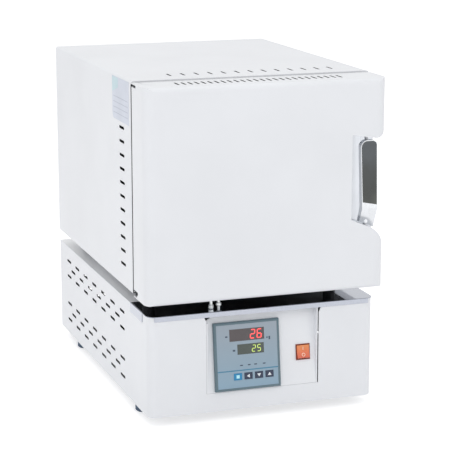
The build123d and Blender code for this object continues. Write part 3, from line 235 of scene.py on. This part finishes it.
def plastic(name, rgb, rough=0.4, grain=1400.0, depth=0.08, coat=0.0):
    """Moulded plastic with a fine spark-eroded texture."""
    t = Tree(name)
    base = linear(*rgb)
    t.set(Coat_Weight=coat)
    t.link(t.ramp(t.noise(30.0), [(0.3, shade(base, 0.95)), (0.7, shade(base, 1.04))]),
           t.shader.inputs["Base Color"])
    t.link(t.range(t.noise(220.0), rough - 0.05, rough + 0.06), t.shader.inputs["Roughness"])
    t.link(t.bump(t.noise(grain), strength=depth, distance=0.1 * MM), t.shader.inputs["Normal"])
    return t.mat


def glowing(name, rgb, strength):
    """Lit segment of a display."""
    t = Tree(name)
    base = linear(*rgb)
    t.link(t.ramp(t.noise(500.0), [(0.2, shade(base, 0.9)), (0.8, base)]), t.shader.inputs["Base Color"])
    t.set(Emission_Color=base, Emission_Strength=strength, Roughness=0.4)
    return t.mat


def fibre(name, rgb):
    """Pressed ceramic fibre with short tangled hairs."""
    t = Tree(name)
    base = linear(*rgb)
    hair = t.noise(420.0, detail=6.0, stretch=(1.0, 0.3, 1.0), rough=0.7)
    t.link(t.ramp(hair, [(0.3, shade(base, 0.86)), (0.7, shade(base, 1.04))]), t.shader.inputs["Base Color"])
    t.set(Roughness=0.95)
    t.link(t.bump(hair, strength=0.5, distance=0.8 * MM), t.shader.inputs["Normal"])
    return t.mat


def ceramic(name, rgb):
    """Cast refractory with pores and cloudy patches."""
    t = Tree(name)
    base = linear(*rgb)
    cell = t.node("ShaderNodeTexVoronoi", Scale=260.0)
    t.link(t.coord.outputs["Object"], cell.inputs["Vector"])
    t.link(t.ramp(t.noise(70.0, detail=5.0), [(0.3, shade(base, 0.84)), (0.7, shade(base, 1.05))]),
           t.shader.inputs["Base Color"])
    t.set(Roughness=0.9)
    t.link(t.bump(cell.outputs["Distance"], strength=0.25, distance=0.6 * MM), t.shader.inputs["Normal"])
    return t.mat


# ---------------------------------------------------------------- where white paint gives way to painted shade
SKIN = 0.15 * MM                  # depth of the white coat inside each outer face, past which the painted shade shows in the cut edges of the slots
PAST = 10 * MM                    # how far a box reaches past a part that it takes in whole
REAR_FLANGE = 2 * MM              # a little more than the thickness of the sheet
CASING_BEND = 4.5 * MM            # reach of the casing's rounded top edges
CASING_FRONT = 2 * MM             # white rim that is left at its front
BASE_BEND = 13.5 * MM             # reach of the base's rounded front corners
DOOR_SIDE, DOOR_FRONT, DOOR_REAR = 20 * MM, 12 * MM, 4 * MM
EDGE_DEPTH, EDGE_SIDE, EDGE_TOP = 0.5 * MM, 0.4 * MM, 4 * MM
SHADE_FROM, SHADE_DEEP = 32 * MM, 150 * MM    # from the left edge, and back from the front


def inner(node, side=0.0, front=0.0, top=0.0, back=REAR_FLANGE):
    """Box inside a folded shell, from just inside its outer faces to just short of its rear flanges, where
    painted shade replaces the white.

    side, front, top and back are what the box keeps out of, such as the reach of a rounded bend.
    """
    low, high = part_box(node)
    side, front, top = side + SKIN, front + SKIN, top + SKIN
    return (low[0] + side, high[0] - side), (low[1] + front, high[1] - back), (low[2] + SKIN, high[2] - top)


def front_edge(node):
    """Slab that takes in the front edge of a shell, below its top bend, where painted shade darkens the gap
    to the door.
    """
    low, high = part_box(node)
    return ((low[0] + EDGE_SIDE, high[0] - EDGE_SIDE), (low[1] - EDGE_DEPTH, low[1] + EDGE_DEPTH),
            (low[2] - PAST, high[2] - EDGE_TOP))


def underside_shade(node):
    """Front part of the body's underside, painted dark as shade so the gap above the sill and its reflection
    look black.
    """
    low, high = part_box(node)
    return ((low[0] + SHADE_FROM, high[0] + PAST), (low[1] - PAST, low[1] + SHADE_DEEP),
            (low[2] - PAST, high[2] + PAST))


# ---------------------------------------------------------------- particular materials
def wire():
    """Resistance wire wound into a close spiral, drawn as colour bands that are light on each turn with
    painted shade between the turns.
    """
    t = Tree("heating_wire")
    turns = t.node("ShaderNodeTexWave", Scale=105.0, Distortion=0.4)
    turns.wave_type = "BANDS"
    turns.bands_direction = "Y"
    t.link(t.coord.outputs["Object"], turns.inputs["Vector"])
    t.link(t.ramp(turns.outputs["Fac"], [(0.2, linear(46, 40, 37)), (0.7, linear(128, 112, 100))]),
           t.shader.inputs["Base Color"])
    t.set(Metallic=1.0, Roughness=0.5)
    t.link(t.bump(turns.outputs["Fac"], strength=0.9, distance=1 * MM), t.shader.inputs["Normal"])
    return t.mat


def graded(name, node, stops, rough=0.35, grain=1800.0, coat=0.0):
    """Moulded or printed plastic whose colour runs through given tints from the foot of a node to its top;
    on the rocker they are painted shade and light.
    """
    t = Tree(name)
    t.link(t.ramp(t.height(node), [(at, linear(*rgb)) for at, rgb in stops]), t.shader.inputs["Base Color"])
    t.set(Coat_Weight=coat)
    t.link(t.range(t.noise(220.0), rough - 0.05, rough + 0.05), t.shader.inputs["Roughness"])
    t.link(t.bump(t.noise(grain), strength=0.04, distance=0.1 * MM), t.shader.inputs["Normal"])
    return t.mat


def inlay_with_painted_reflection():
    """Dark inlay with a painted reflection: bluish at the top, greenish lower down, with faint cloudy
    patches.
    """
    t = Tree("dark_inlay")
    wave = t.node("ShaderNodeMath", operation="MULTIPLY_ADD")
    wave.inputs[1].default_value = 0.5
    t.link(t.noise(42.0, stretch=(1.0, 1.0, 0.45)), wave.inputs[0])
    t.link(t.height("lever_inlay"), wave.inputs[2])
    reflection_tints = [(0.25, linear(66, 70, 64)), (0.42, linear(36, 42, 38)), (0.75, linear(44, 50, 50)),
             (1.1, linear(62, 69, 74))]
    t.link(t.ramp(wave.outputs[0], reflection_tints), t.shader.inputs["Base Color"])
    t.set(Roughness=0.1, Coat_Weight=0.5)
    t.link(t.bump(t.noise(12.0, detail=1.0), strength=0.05, distance=2 * MM), t.shader.inputs["Normal"])
    return t.mat


# ---------------------------------------------------------------- table of materials
WHITE = (236, 238, 242)
DRAWN_X = (0.06, 1.0, 1.0)        # stretches of a metal's grain
DRAWN_Y = (1.0, 0.1, 1.0)
DRAWN_Z = (1.0, 1.0, 0.2)
TURNED = (1.0, 1.0, 8.0)
FACE_TINTS = [(0.0, (140, 168, 188)), (0.35, (146, 168, 184)), (1.0, (156, 167, 178))]
# rocker: dark red at its foot as painted shade, lighter orange towards its top as painted light
ROCKER_SHADE_TINTS = [(0.0, (150, 44, 18)), (0.14, (214, 84, 44)), (0.5, (230, 112, 62)), (0.85, (232, 136, 72))]

MATS = {
    # painted sheet
    # casing, base shell and door: a dark colour inside, on the cut walls of the slots and on the casing's
    # front edge, as painted shade
    "casing": paint("casing_white", WHITE, shade_boxes=[
        inner("outer_casing", front=CASING_FRONT, top=CASING_BEND),
        inner("outer_casing", front=CASING_FRONT, side=CASING_BEND),
        front_edge("outer_casing")]),
    "shell": paint("shell_white", WHITE, shade_boxes=[inner("base_shell", front=BASE_BEND)]),
    "door": paint("door_white", WHITE, shade_boxes=[
        inner("door_skin", side=DOOR_SIDE, front=DOOR_FRONT, back=DOOR_REAR)]),
    "white": paint("powder_coat_white", WHITE),
    "frame": paint("frame_white", (240, 241, 244), rough=0.42),
    # deck: whiter than the casing paint, as painted light on the strip that lies in shade under the body
    "deck": paint("powder_coat_deck", (248, 249, 251)),
    # body underside: its front part is a dark painted shade, seen in the gap and in the mirror sill
    "underside": paint("underside_paint", (226, 228, 231), rough=0.7, shade_boxes=[underside_shade("body_bottom")],
                       shade_rgb=(30, 30, 32)),
    "under_black": paint("matt_black_paint", (34, 34, 36), rough=0.7),
    # metals
    "mirror": metal("mirror_steel", (176, 180, 190), rough=0.05, scale=500.0, depth=0.01),
    "brushed": metal("brushed_steel", (164, 166, 170), rough=0.24, grain=DRAWN_X, scale=700.0),
    "cup": metal("plated_cup", (200, 203, 208), rough=0.3, grain=DRAWN_Z, scale=200.0, depth=0.02),
    "lever": metal("lever_chrome", (213, 215, 218), rough=0.2, grain=DRAWN_Z, scale=200.0, depth=0.02),
    "zinc": metal("zinc_steel", (170, 172, 176), rough=0.28, scale=600.0, depth=0.05, marks=0.1),
    "post": metal("turned_post", (232, 234, 232), rough=0.3, grain=TURNED),
    "liner": metal("galvanised_liner", (176, 178, 180), rough=0.35, scale=60.0, depth=0.05, marks=0.15),
    "black_steel": metal("black_steel", (52, 54, 58), rough=0.4, scale=600.0, depth=0.05, marks=0.1),
    "aluminium": metal("extruded_fin", (196, 198, 202), rough=0.3, grain=DRAWN_Y, scale=400.0, depth=0.05),
    "coil": wire(),
    # plastics, rubber and glass
    "rubber": plastic("foot_rubber", (70, 90, 112), rough=0.6, grain=900.0, depth=0.2),
    "inlay": inlay_with_painted_reflection(),
    "bezel": plastic("bezel_plastic", (94, 116, 126), rough=0.42),
    "face": graded("face_foil", "controller_face", FACE_TINTS),
    "window_red": plastic("window_red", (74, 66, 68), rough=0.12, grain=600.0, depth=0.01, coat=0.4),
    "window_green": plastic("window_green", (62, 72, 66), rough=0.12, grain=600.0, depth=0.01, coat=0.4),
    "key_navy": plastic("key_navy", (38, 50, 74), rough=0.35),
    "key_blue": plastic("key_blue", (34, 134, 184), rough=0.3),
    "rocker": graded("rocker_orange", "switch_rocker", ROCKER_SHADE_TINTS, rough=0.22, grain=700.0, coat=0.5),
    "rocker_frame": plastic("rocker_frame", (132, 48, 22), rough=0.3),
    "black": plastic("black_plastic", (26, 27, 29), rough=0.42),
    "nylon": plastic("natural_nylon", (226, 224, 214), rough=0.45),
    # refractories
    "fibre": fibre("fibre_board", (236, 232, 222)),
    "muffle": ceramic("muffle_ceramic", (222, 212, 192)),
    "sheath": ceramic("probe_ceramic", (226, 220, 206)),
    # printed marks and lit segments
    "mark_white": plastic("mark_white", (228, 234, 240)),
    "mark_cyan": plastic("mark_cyan", (190, 244, 255)),
    "mark_dark": plastic("mark_dark", (60, 74, 92), rough=0.5),
    "mark_blue": plastic("mark_blue", (70, 130, 160)),
    "mark_pale": plastic("mark_pale", (250, 214, 190)),
    "label": plastic("blank_label", (206, 212, 226), rough=0.3),
    "label_band": plastic("label_band", (190, 216, 224), rough=0.3),
    "label_rule": plastic("label_rule", (180, 186, 202), rough=0.35),
    "red_led": glowing("red_segments", (255, 84, 84), strength=1.0),
    "green_led": glowing("green_segments", (190, 214, 110), strength=0.6),
}

NODE_MATS = {
    "white": "base_back control_panel back_panel terminal_cover",
    "door": "door_skin",
    "shell": "base_shell",
    "casing": "outer_casing",
    "deck": "base_top",
    "mirror": "sill_plate",
    "brushed": "door_inner_plate",
    "frame": "front_frame",
    "cup": "handle_cup",
    "black_steel": "hinge_brackets hinge_blocks",
    "zinc": "foot_screws panel_screws hinge_pins catch_pin catch_body handle_pin base_bottom",
    "post": "door_stop_post door_switch_plunger",
    "liner": "inner_case case_legs",
    "under_black": "standoffs",
    "underside": "body_bottom",
    "rubber": "feet",
    "lever": "latch_lever",
    "inlay": "lever_inlay",
    "bezel": "controller_case",
    "face": "controller_face",
    "window_red": "display_upper",
    "window_green": "display_lower",
    "key_blue": "key_set",
    "key_navy": "key_left key_down key_up",
    "rocker": "switch_rocker",
    "rocker_frame": "switch_housing",
    "black": "cable_gland fuse_holder solid_state_relay terminal_block door_switch",
    "aluminium": "relay_heatsink",
    "fibre": "insulation_sides insulation_top insulation_bottom insulation_back door_insulation door_plug",
    "muffle": "muffle muffle_back hearth_plate",
    "coil": "heating_coils",
    "sheath": "thermocouple",
    "nylon": "catch_roller_lower catch_roller_upper",
}
for key, names in NODE_MATS.items():
    for name in names.split():
        for material_slot in NODES[name].material_slots:
            material_slot.material = MATS[key]


# ---------------------------------------------------------------- mesh kit
def piece(name, mesh, mat, body, plane):
    """A new piece that rides on a body, drawn flat and laid on a plane."""
    mesh.materials.append(MATS[mat])
    obj = bpy.data.objects.new(name, mesh)
    bpy.context.scene.collection.objects.link(obj)
    mesh.transform(plane)
    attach(obj, body)


def plates(name, outlines, low, high):
    """Thin plates over closed (x, y) outlines, between two heights."""
    bm = bmesh.new()
    for points in outlines:
        bottom = [bm.verts.new((x, y, low)) for x, y in points]
        top = [bm.verts.new((x, y, high)) for x, y in points]
        bm.faces.new(bottom[::-1])
        bm.faces.new(top)
        for i in range(len(points)):
            j = (i + 1) % len(points)
            bm.faces.new((bottom[i], bottom[j], top[j], top[i]))
    bmesh.ops.recalc_face_normals(bm, faces=bm.faces)
    mesh = bpy.data.meshes.new(name)
    bm.to_mesh(mesh)
    bm.free()
    return mesh


def rect(x, y, w, h):
    """Outline of a rectangle around its centre."""
    return [(x - w / 2, y - h / 2), (x + w / 2, y - h / 2), (x + w / 2, y + h / 2), (x - w / 2, y + h / 2)]


def disc(x, y, r, count=24):
    """Outline of a round dot."""
    return [(x + r * math.cos(2 * math.pi * i / count), y + r * math.sin(2 * math.pi * i / count))
            for i in range(count)]


# ---------------------------------------------------------------- drawing planes
BASE_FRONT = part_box("base_shell")[0][1]
PANEL_LEAN = math.radians(6.8)    # how far the control panel leans back
PANEL_FOOT = 42 * MM
MARK = 0.12 * MM                  # thickness of printed marks and lit segments


def middle_x(node):
    """Middle of a node from left to right."""
    low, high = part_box(node)
    return (low[0] + high[0]) / 2


def panel_plane(x, up):
    """Matrix from flat (x right, y up, z out) drawing coordinates to a spot on the leaning panel."""
    right = Vector((1, 0, 0))
    rise = Vector((0, math.sin(PANEL_LEAN), math.cos(PANEL_LEAN)))
    out = Vector((0, -math.cos(PANEL_LEAN), math.sin(PANEL_LEAN)))
    turn = Matrix((right, rise, out)).transposed().to_4x4()
    spot = Vector((x, BASE_FRONT, PANEL_FOOT)) + rise * up
    return Matrix.Translation(spot) @ turn


# ---------------------------------------------------------------- controller digits
CONTROLLER_X = middle_x("controller_face")
CONTROLLER = panel_plane(CONTROLLER_X, 49.7 * MM)
FACE_TOP = 5.3 * MM               # heights above the panel
WINDOW_TOP = 5.1 * MM
KEY_TOP = 5.7 * MM

# seven-segment strokes: (x, y, upright) on a unit digit 1 wide and 2 tall
STROKES = {"a": (0, 1, 0), "b": (0.5, 0.5, 1), "c": (0.5, -0.5, 1), "d": (0, -1, 0), "e": (-0.5, -0.5, 1),
           "f": (-0.5, 0.5, 1), "g": (0, 0, 0)}
DIGITS = {"2": "abged", "5": "afgcd", "6": "afgedc"}
DIGIT_W, STROKE_W = 0.48, 0.11    # shares of a digit's height
STROKE_RISE = 0.94                # share of half the height at which the top and foot strokes lie
STROKE_GAP = 0.35                 # share of a stroke's width left open between two strokes
SLANT = 0.09


def digit(symbol, x, y, height):
    """Outlines of one seven-segment digit."""
    half = height / 2
    wide = height * DIGIT_W
    thick = height * STROKE_W
    outlines = []
    for stroke in DIGITS[symbol]:
        cx, cy, tall = STROKES[stroke]
        length = (half if tall else wide) - thick * STROKE_GAP
        w, t = length / 2, thick / 2
        bar = [(-w, 0), (-w + t, -t), (w - t, -t), (w, 0), (w - t, t), (-w + t, t)]
        if tall:
            bar = [(-b, a) for a, b in bar]
        px, py = cx * wide, cy * half * STROKE_RISE
        outlines.append([(x + px + a + SLANT * (py + b), y + py + b) for a, b in bar])
    return outlines


def display(name, digits, x, y, height, pitch, mat):
    """Lit digits in one window, with x and y at the middle of the first, in millimetres."""
    outlines = []
    for i, symbol in enumerate(digits):
        outlines += digit(symbol, (x + i * pitch) * MM, y * MM, height * MM)
    mesh = plates(name, outlines, WINDOW_TOP, WINDOW_TOP + MARK)
    piece(name, mesh, mat, "cabinet", CONTROLLER)


display("digits_upper", "26", x=8.6, y=29.2, height=12.6, pitch=9.8, mat="red_led")
display("digits_lower", "25", x=9.8, y=8.9, height=9.4, pitch=7.6, mat="green_led")


# ---------------------------------------------------------------- controller marks
def millimetres(outline):
    """Outline drawn in millimetres, given in metres."""
    return [(x * MM, y * MM) for x, y in outline]


FACE_MARKS = {
    "divider_line": ("mark_blue", [rect(0, -20.3, 88.6, 1.5)]),
    "status_marks": ("mark_dark", [rect(x, -13.5, 4.0, 1.6) for x in (-9.3, 2.0, 11.4, 24.1)]),
    "unit_marks": ("mark_dark", [disc(29.5, 22.5, 1.1), rect(33.0, 21.6, 2.2, 4.6),
                                 rect(-30.0, 28.0, 3.4, 2.0), rect(-19.5, 8.0, 3.4, 2.4)]),
}
for mark_name, (mark_mat, shapes) in FACE_MARKS.items():
    mark_mesh = plates(mark_name, map(millimetres, shapes), FACE_TOP, FACE_TOP + MARK)
    piece(mark_name, mark_mesh, mark_mat, "cabinet", CONTROLLER)

KEY_Y = -29.0 * MM
KEY_ICONS = {
    "set": ("mark_cyan", rect(0, 0, 4.6, 4.6)),
    "left": ("mark_white", [(-2.6, 0), (1.8, -2.6), (1.8, 2.6)]),
    "down": ("mark_white", [(0, -2.4), (2.8, 2.0), (-2.8, 2.0)]),
    "up": ("mark_white", [(0, 2.4), (-2.8, -2.0), (2.8, -2.0)]),
}
for key_name, (icon_mat, icon) in KEY_ICONS.items():
    key_x = middle_x(f"key_{key_name}") - CONTROLLER_X
    moved = [(x + key_x, y + KEY_Y) for x, y in millimetres(icon)]
    icon_mesh = plates(f"icon_{key_name}", [moved], KEY_TOP, KEY_TOP + MARK)
    piece(f"icon_{key_name}", icon_mesh, icon_mat, f"key_{key_name}_cap", CONTROLLER)


# ---------------------------------------------------------------- rocker marks
ROCKER = panel_plane(middle_x("switch_rocker"), 45.8 * MM)
ROCKER_PIVOT = -1.0 * MM
ROCKER_VEE = 2.0 * MM             # height of the line at which its two halves meet
THROW = math.radians(9.0)         # slope of each half
MARK_Y = 4.6 * MM                 # from that line to the middle of each mark
BAR_W, BAR_L = 1.0 * MM, 4.6 * MM
RING_OUTER, RING_HOLE = 2.6 * MM, 1.7 * MM


def rocker_half(side):
    """Matrix from flat drawing coordinates to one sloping half of the rocker, upper 1 or lower -1."""
    turn = Matrix.Rotation(-THROW, 4, "X")
    about = Matrix.Translation((0, 0, ROCKER_PIVOT)) @ turn @ Matrix.Translation((0, 0, -ROCKER_PIVOT))
    slope = Matrix.Rotation(side * THROW, 4, "X")
    return ROCKER @ about @ Matrix.Translation((0, 0, ROCKER_VEE)) @ slope


def ring(x, y, outer, hole, steps=14):
    """Two half rings, which together make a closed ring."""
    halves = []
    for start in (0.0, math.pi):
        angles = [start + math.pi * i / steps for i in range(steps + 1)]
        rim = [(x + outer * math.cos(a), y + outer * math.sin(a)) for a in angles]
        edge = [(x + hole * math.cos(a), y + hole * math.sin(a)) for a in reversed(angles)]
        halves.append(rim + edge)
    return halves


ROCKER_MARKS = {
    "rocker_on": (1, [rect(0, MARK_Y, BAR_W, BAR_L)]),
    "rocker_off": (-1, ring(0, -MARK_Y, RING_OUTER, RING_HOLE)),
}
for mark_name, (half, shapes) in ROCKER_MARKS.items():
    mark_mesh = plates(mark_name, shapes, 0, MARK)
    piece(mark_name, mark_mesh, "mark_pale", "rocker", rocker_half(half))


# ---------------------------------------------------------------- blank rating plate
LABEL_FROM, LABEL_TO = 56 * MM, 138 * MM        # behind the front of the base
LABEL_DROP = 2.5 * MM                           # below the top of the body
LABEL_H = 59 * MM
LABEL_R = 9 * MM
LABEL_T = 0.3 * MM
LABEL_SUNK = 0.05 * MM
LABEL_RIM = 1 * MM
BAND_L, BAND_FRONT_H, BAND_REAR_H = 30 * MM, 14 * MM, 22 * MM
RULES = 4
RULE_FOOT, RULE_PITCH, RULE_MARGIN, RULE_H = 9 * MM, 7.5 * MM, 5 * MM, 0.9 * MM
CORNER_STEPS = 8


def label_outline(y0, y1, z0, z1, r):
    """Plate seen from the left, with its lower rear corner rounded."""
    angles = [math.pi / 2 * i / CORNER_STEPS for i in range(CORNER_STEPS + 1)]
    corner = [(y1 - r + r * math.sin(a), z0 + r - r * math.cos(a)) for a in angles]
    return [(y0, z0), *corner, (y1, z1), (y0, z1)]


def label():
    """Blank plate with a plain header band and ruled lines, on the left side of the body."""
    low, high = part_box("outer_casing")
    turn = Matrix(((0, 0, -1), (1, 0, 0), (0, 1, 0))).to_4x4()
    plane = Matrix.Translation((low[0], 0, 0)) @ turn
    y0, y1 = BASE_FRONT + LABEL_FROM, BASE_FRONT + LABEL_TO
    z1 = high[2] - LABEL_DROP
    z0 = z1 - LABEL_H
    band = [(y1 - BAND_L, z1 - LABEL_RIM), (y1 - BAND_L, z1 - BAND_FRONT_H),
            (y1 - LABEL_RIM, z1 - BAND_REAR_H), (y1 - LABEL_RIM, z1 - LABEL_RIM)]
    rules = [rect((y0 + y1) / 2, z0 + RULE_FOOT + i * RULE_PITCH, y1 - y0 - 2 * RULE_MARGIN, RULE_H)
             for i in range(RULES)]
    layers = {
        "label_plate": ("label", [label_outline(y0, y1, z0, z1, LABEL_R)], -LABEL_SUNK, LABEL_T),
        "label_band": ("label_band", [band], LABEL_T, LABEL_T + MARK),
        "label_rules": ("label_rule", rules, LABEL_T, LABEL_T + MARK),
    }
    for name, (mat, outlines, foot, top) in layers.items():
        piece(name, plates(name, outlines, foot, top), mat, "cabinet", plane)


label()


# ---------------------------------------------------------------- floor, lamps and background
FLOOR_SIZE = 14.0
FLOOR_GLOW = 0.52                 # lifts the floor to the white of the background, and keeps its shadow
WORLD_SEEN, WORLD_LIGHT = 1.0, 0.67
CENTRE = (0.0, 0.0, 0.25)


def seen_directly(tree):
    """1 for rays from the camera, a mirror or glass, 0 for the light that falls on surfaces."""
    path = tree.nodes.new("ShaderNodeLightPath")
    result = path.outputs["Is Camera Ray"]
    for ray in ("Is Transmission Ray", "Is Glossy Ray"):
        larger = tree.nodes.new("ShaderNodeMath")
        larger.operation = "MAXIMUM"
        tree.links.new(result, larger.inputs[0])
        tree.links.new(path.outputs[ray], larger.inputs[1])
        result = larger.outputs[0]
    return result


def stage():
    """White table that glows a little where it is seen and still takes shadows."""
    bpy.ops.mesh.primitive_plane_add(size=FLOOR_SIZE, location=(0, 0, 0))
    floor = bpy.context.object
    floor.name = "floor"
    t = Tree("floor_white")
    t.link(t.ramp(t.noise(3.0), [(0.0, (0.86, 0.86, 0.87, 1)), (1.0, (0.88, 0.88, 0.88, 1))]),
           t.shader.inputs["Base Color"])
    t.set(Roughness=0.9, Emission_Color=(1, 1, 1, 1))
    glow = t.node("ShaderNodeMath", operation="MULTIPLY")
    glow.inputs[1].default_value = FLOOR_GLOW
    t.link(seen_directly(t.tree), glow.inputs[0])
    t.link(glow.outputs[0], t.shader.inputs["Emission Strength"])
    floor.data.materials.append(t.mat)


def lamp(name, place, size, power):
    """Square soft lamp that faces the furnace."""
    data = bpy.data.lights.new(name, "AREA")
    data.size = size
    data.energy = power
    light = bpy.data.objects.new(name, data)
    light.location = place
    light.rotation_euler = (Vector(CENTRE) - Vector(place)).to_track_quat("-Z", "Y").to_euler()
    bpy.context.scene.collection.objects.link(light)


def world():
    """Background that is seen as white and lights the furnace a little less."""
    studio = bpy.data.worlds.new("studio")
    bpy.context.scene.world = studio
    studio.use_nodes = True
    tree = studio.node_tree
    back = tree.nodes["Background"]
    level = tree.nodes.new("ShaderNodeMapRange")
    level.inputs["To Min"].default_value = WORLD_LIGHT
    level.inputs["To Max"].default_value = WORLD_SEEN
    tree.links.new(seen_directly(tree), level.inputs["Value"])
    tree.links.new(level.outputs["Result"], back.inputs["Strength"])
    back.inputs["Color"].default_value = (1, 1, 1, 1)


stage()
world()
lamp("key", (-1.6, -2.6, 2.6), size=2.2, power=25.0)
lamp("left", (-3.2, -0.5, 1.0), size=1.6, power=7.5)
lamp("fill", (2.2, -2.6, 0.8), size=2.4, power=14.5)
lamp("top", (0.0, 0.3, 3.2), size=2.4, power=12.0)

view = bpy.context.scene.view_settings
view.view_transform = "Standard"
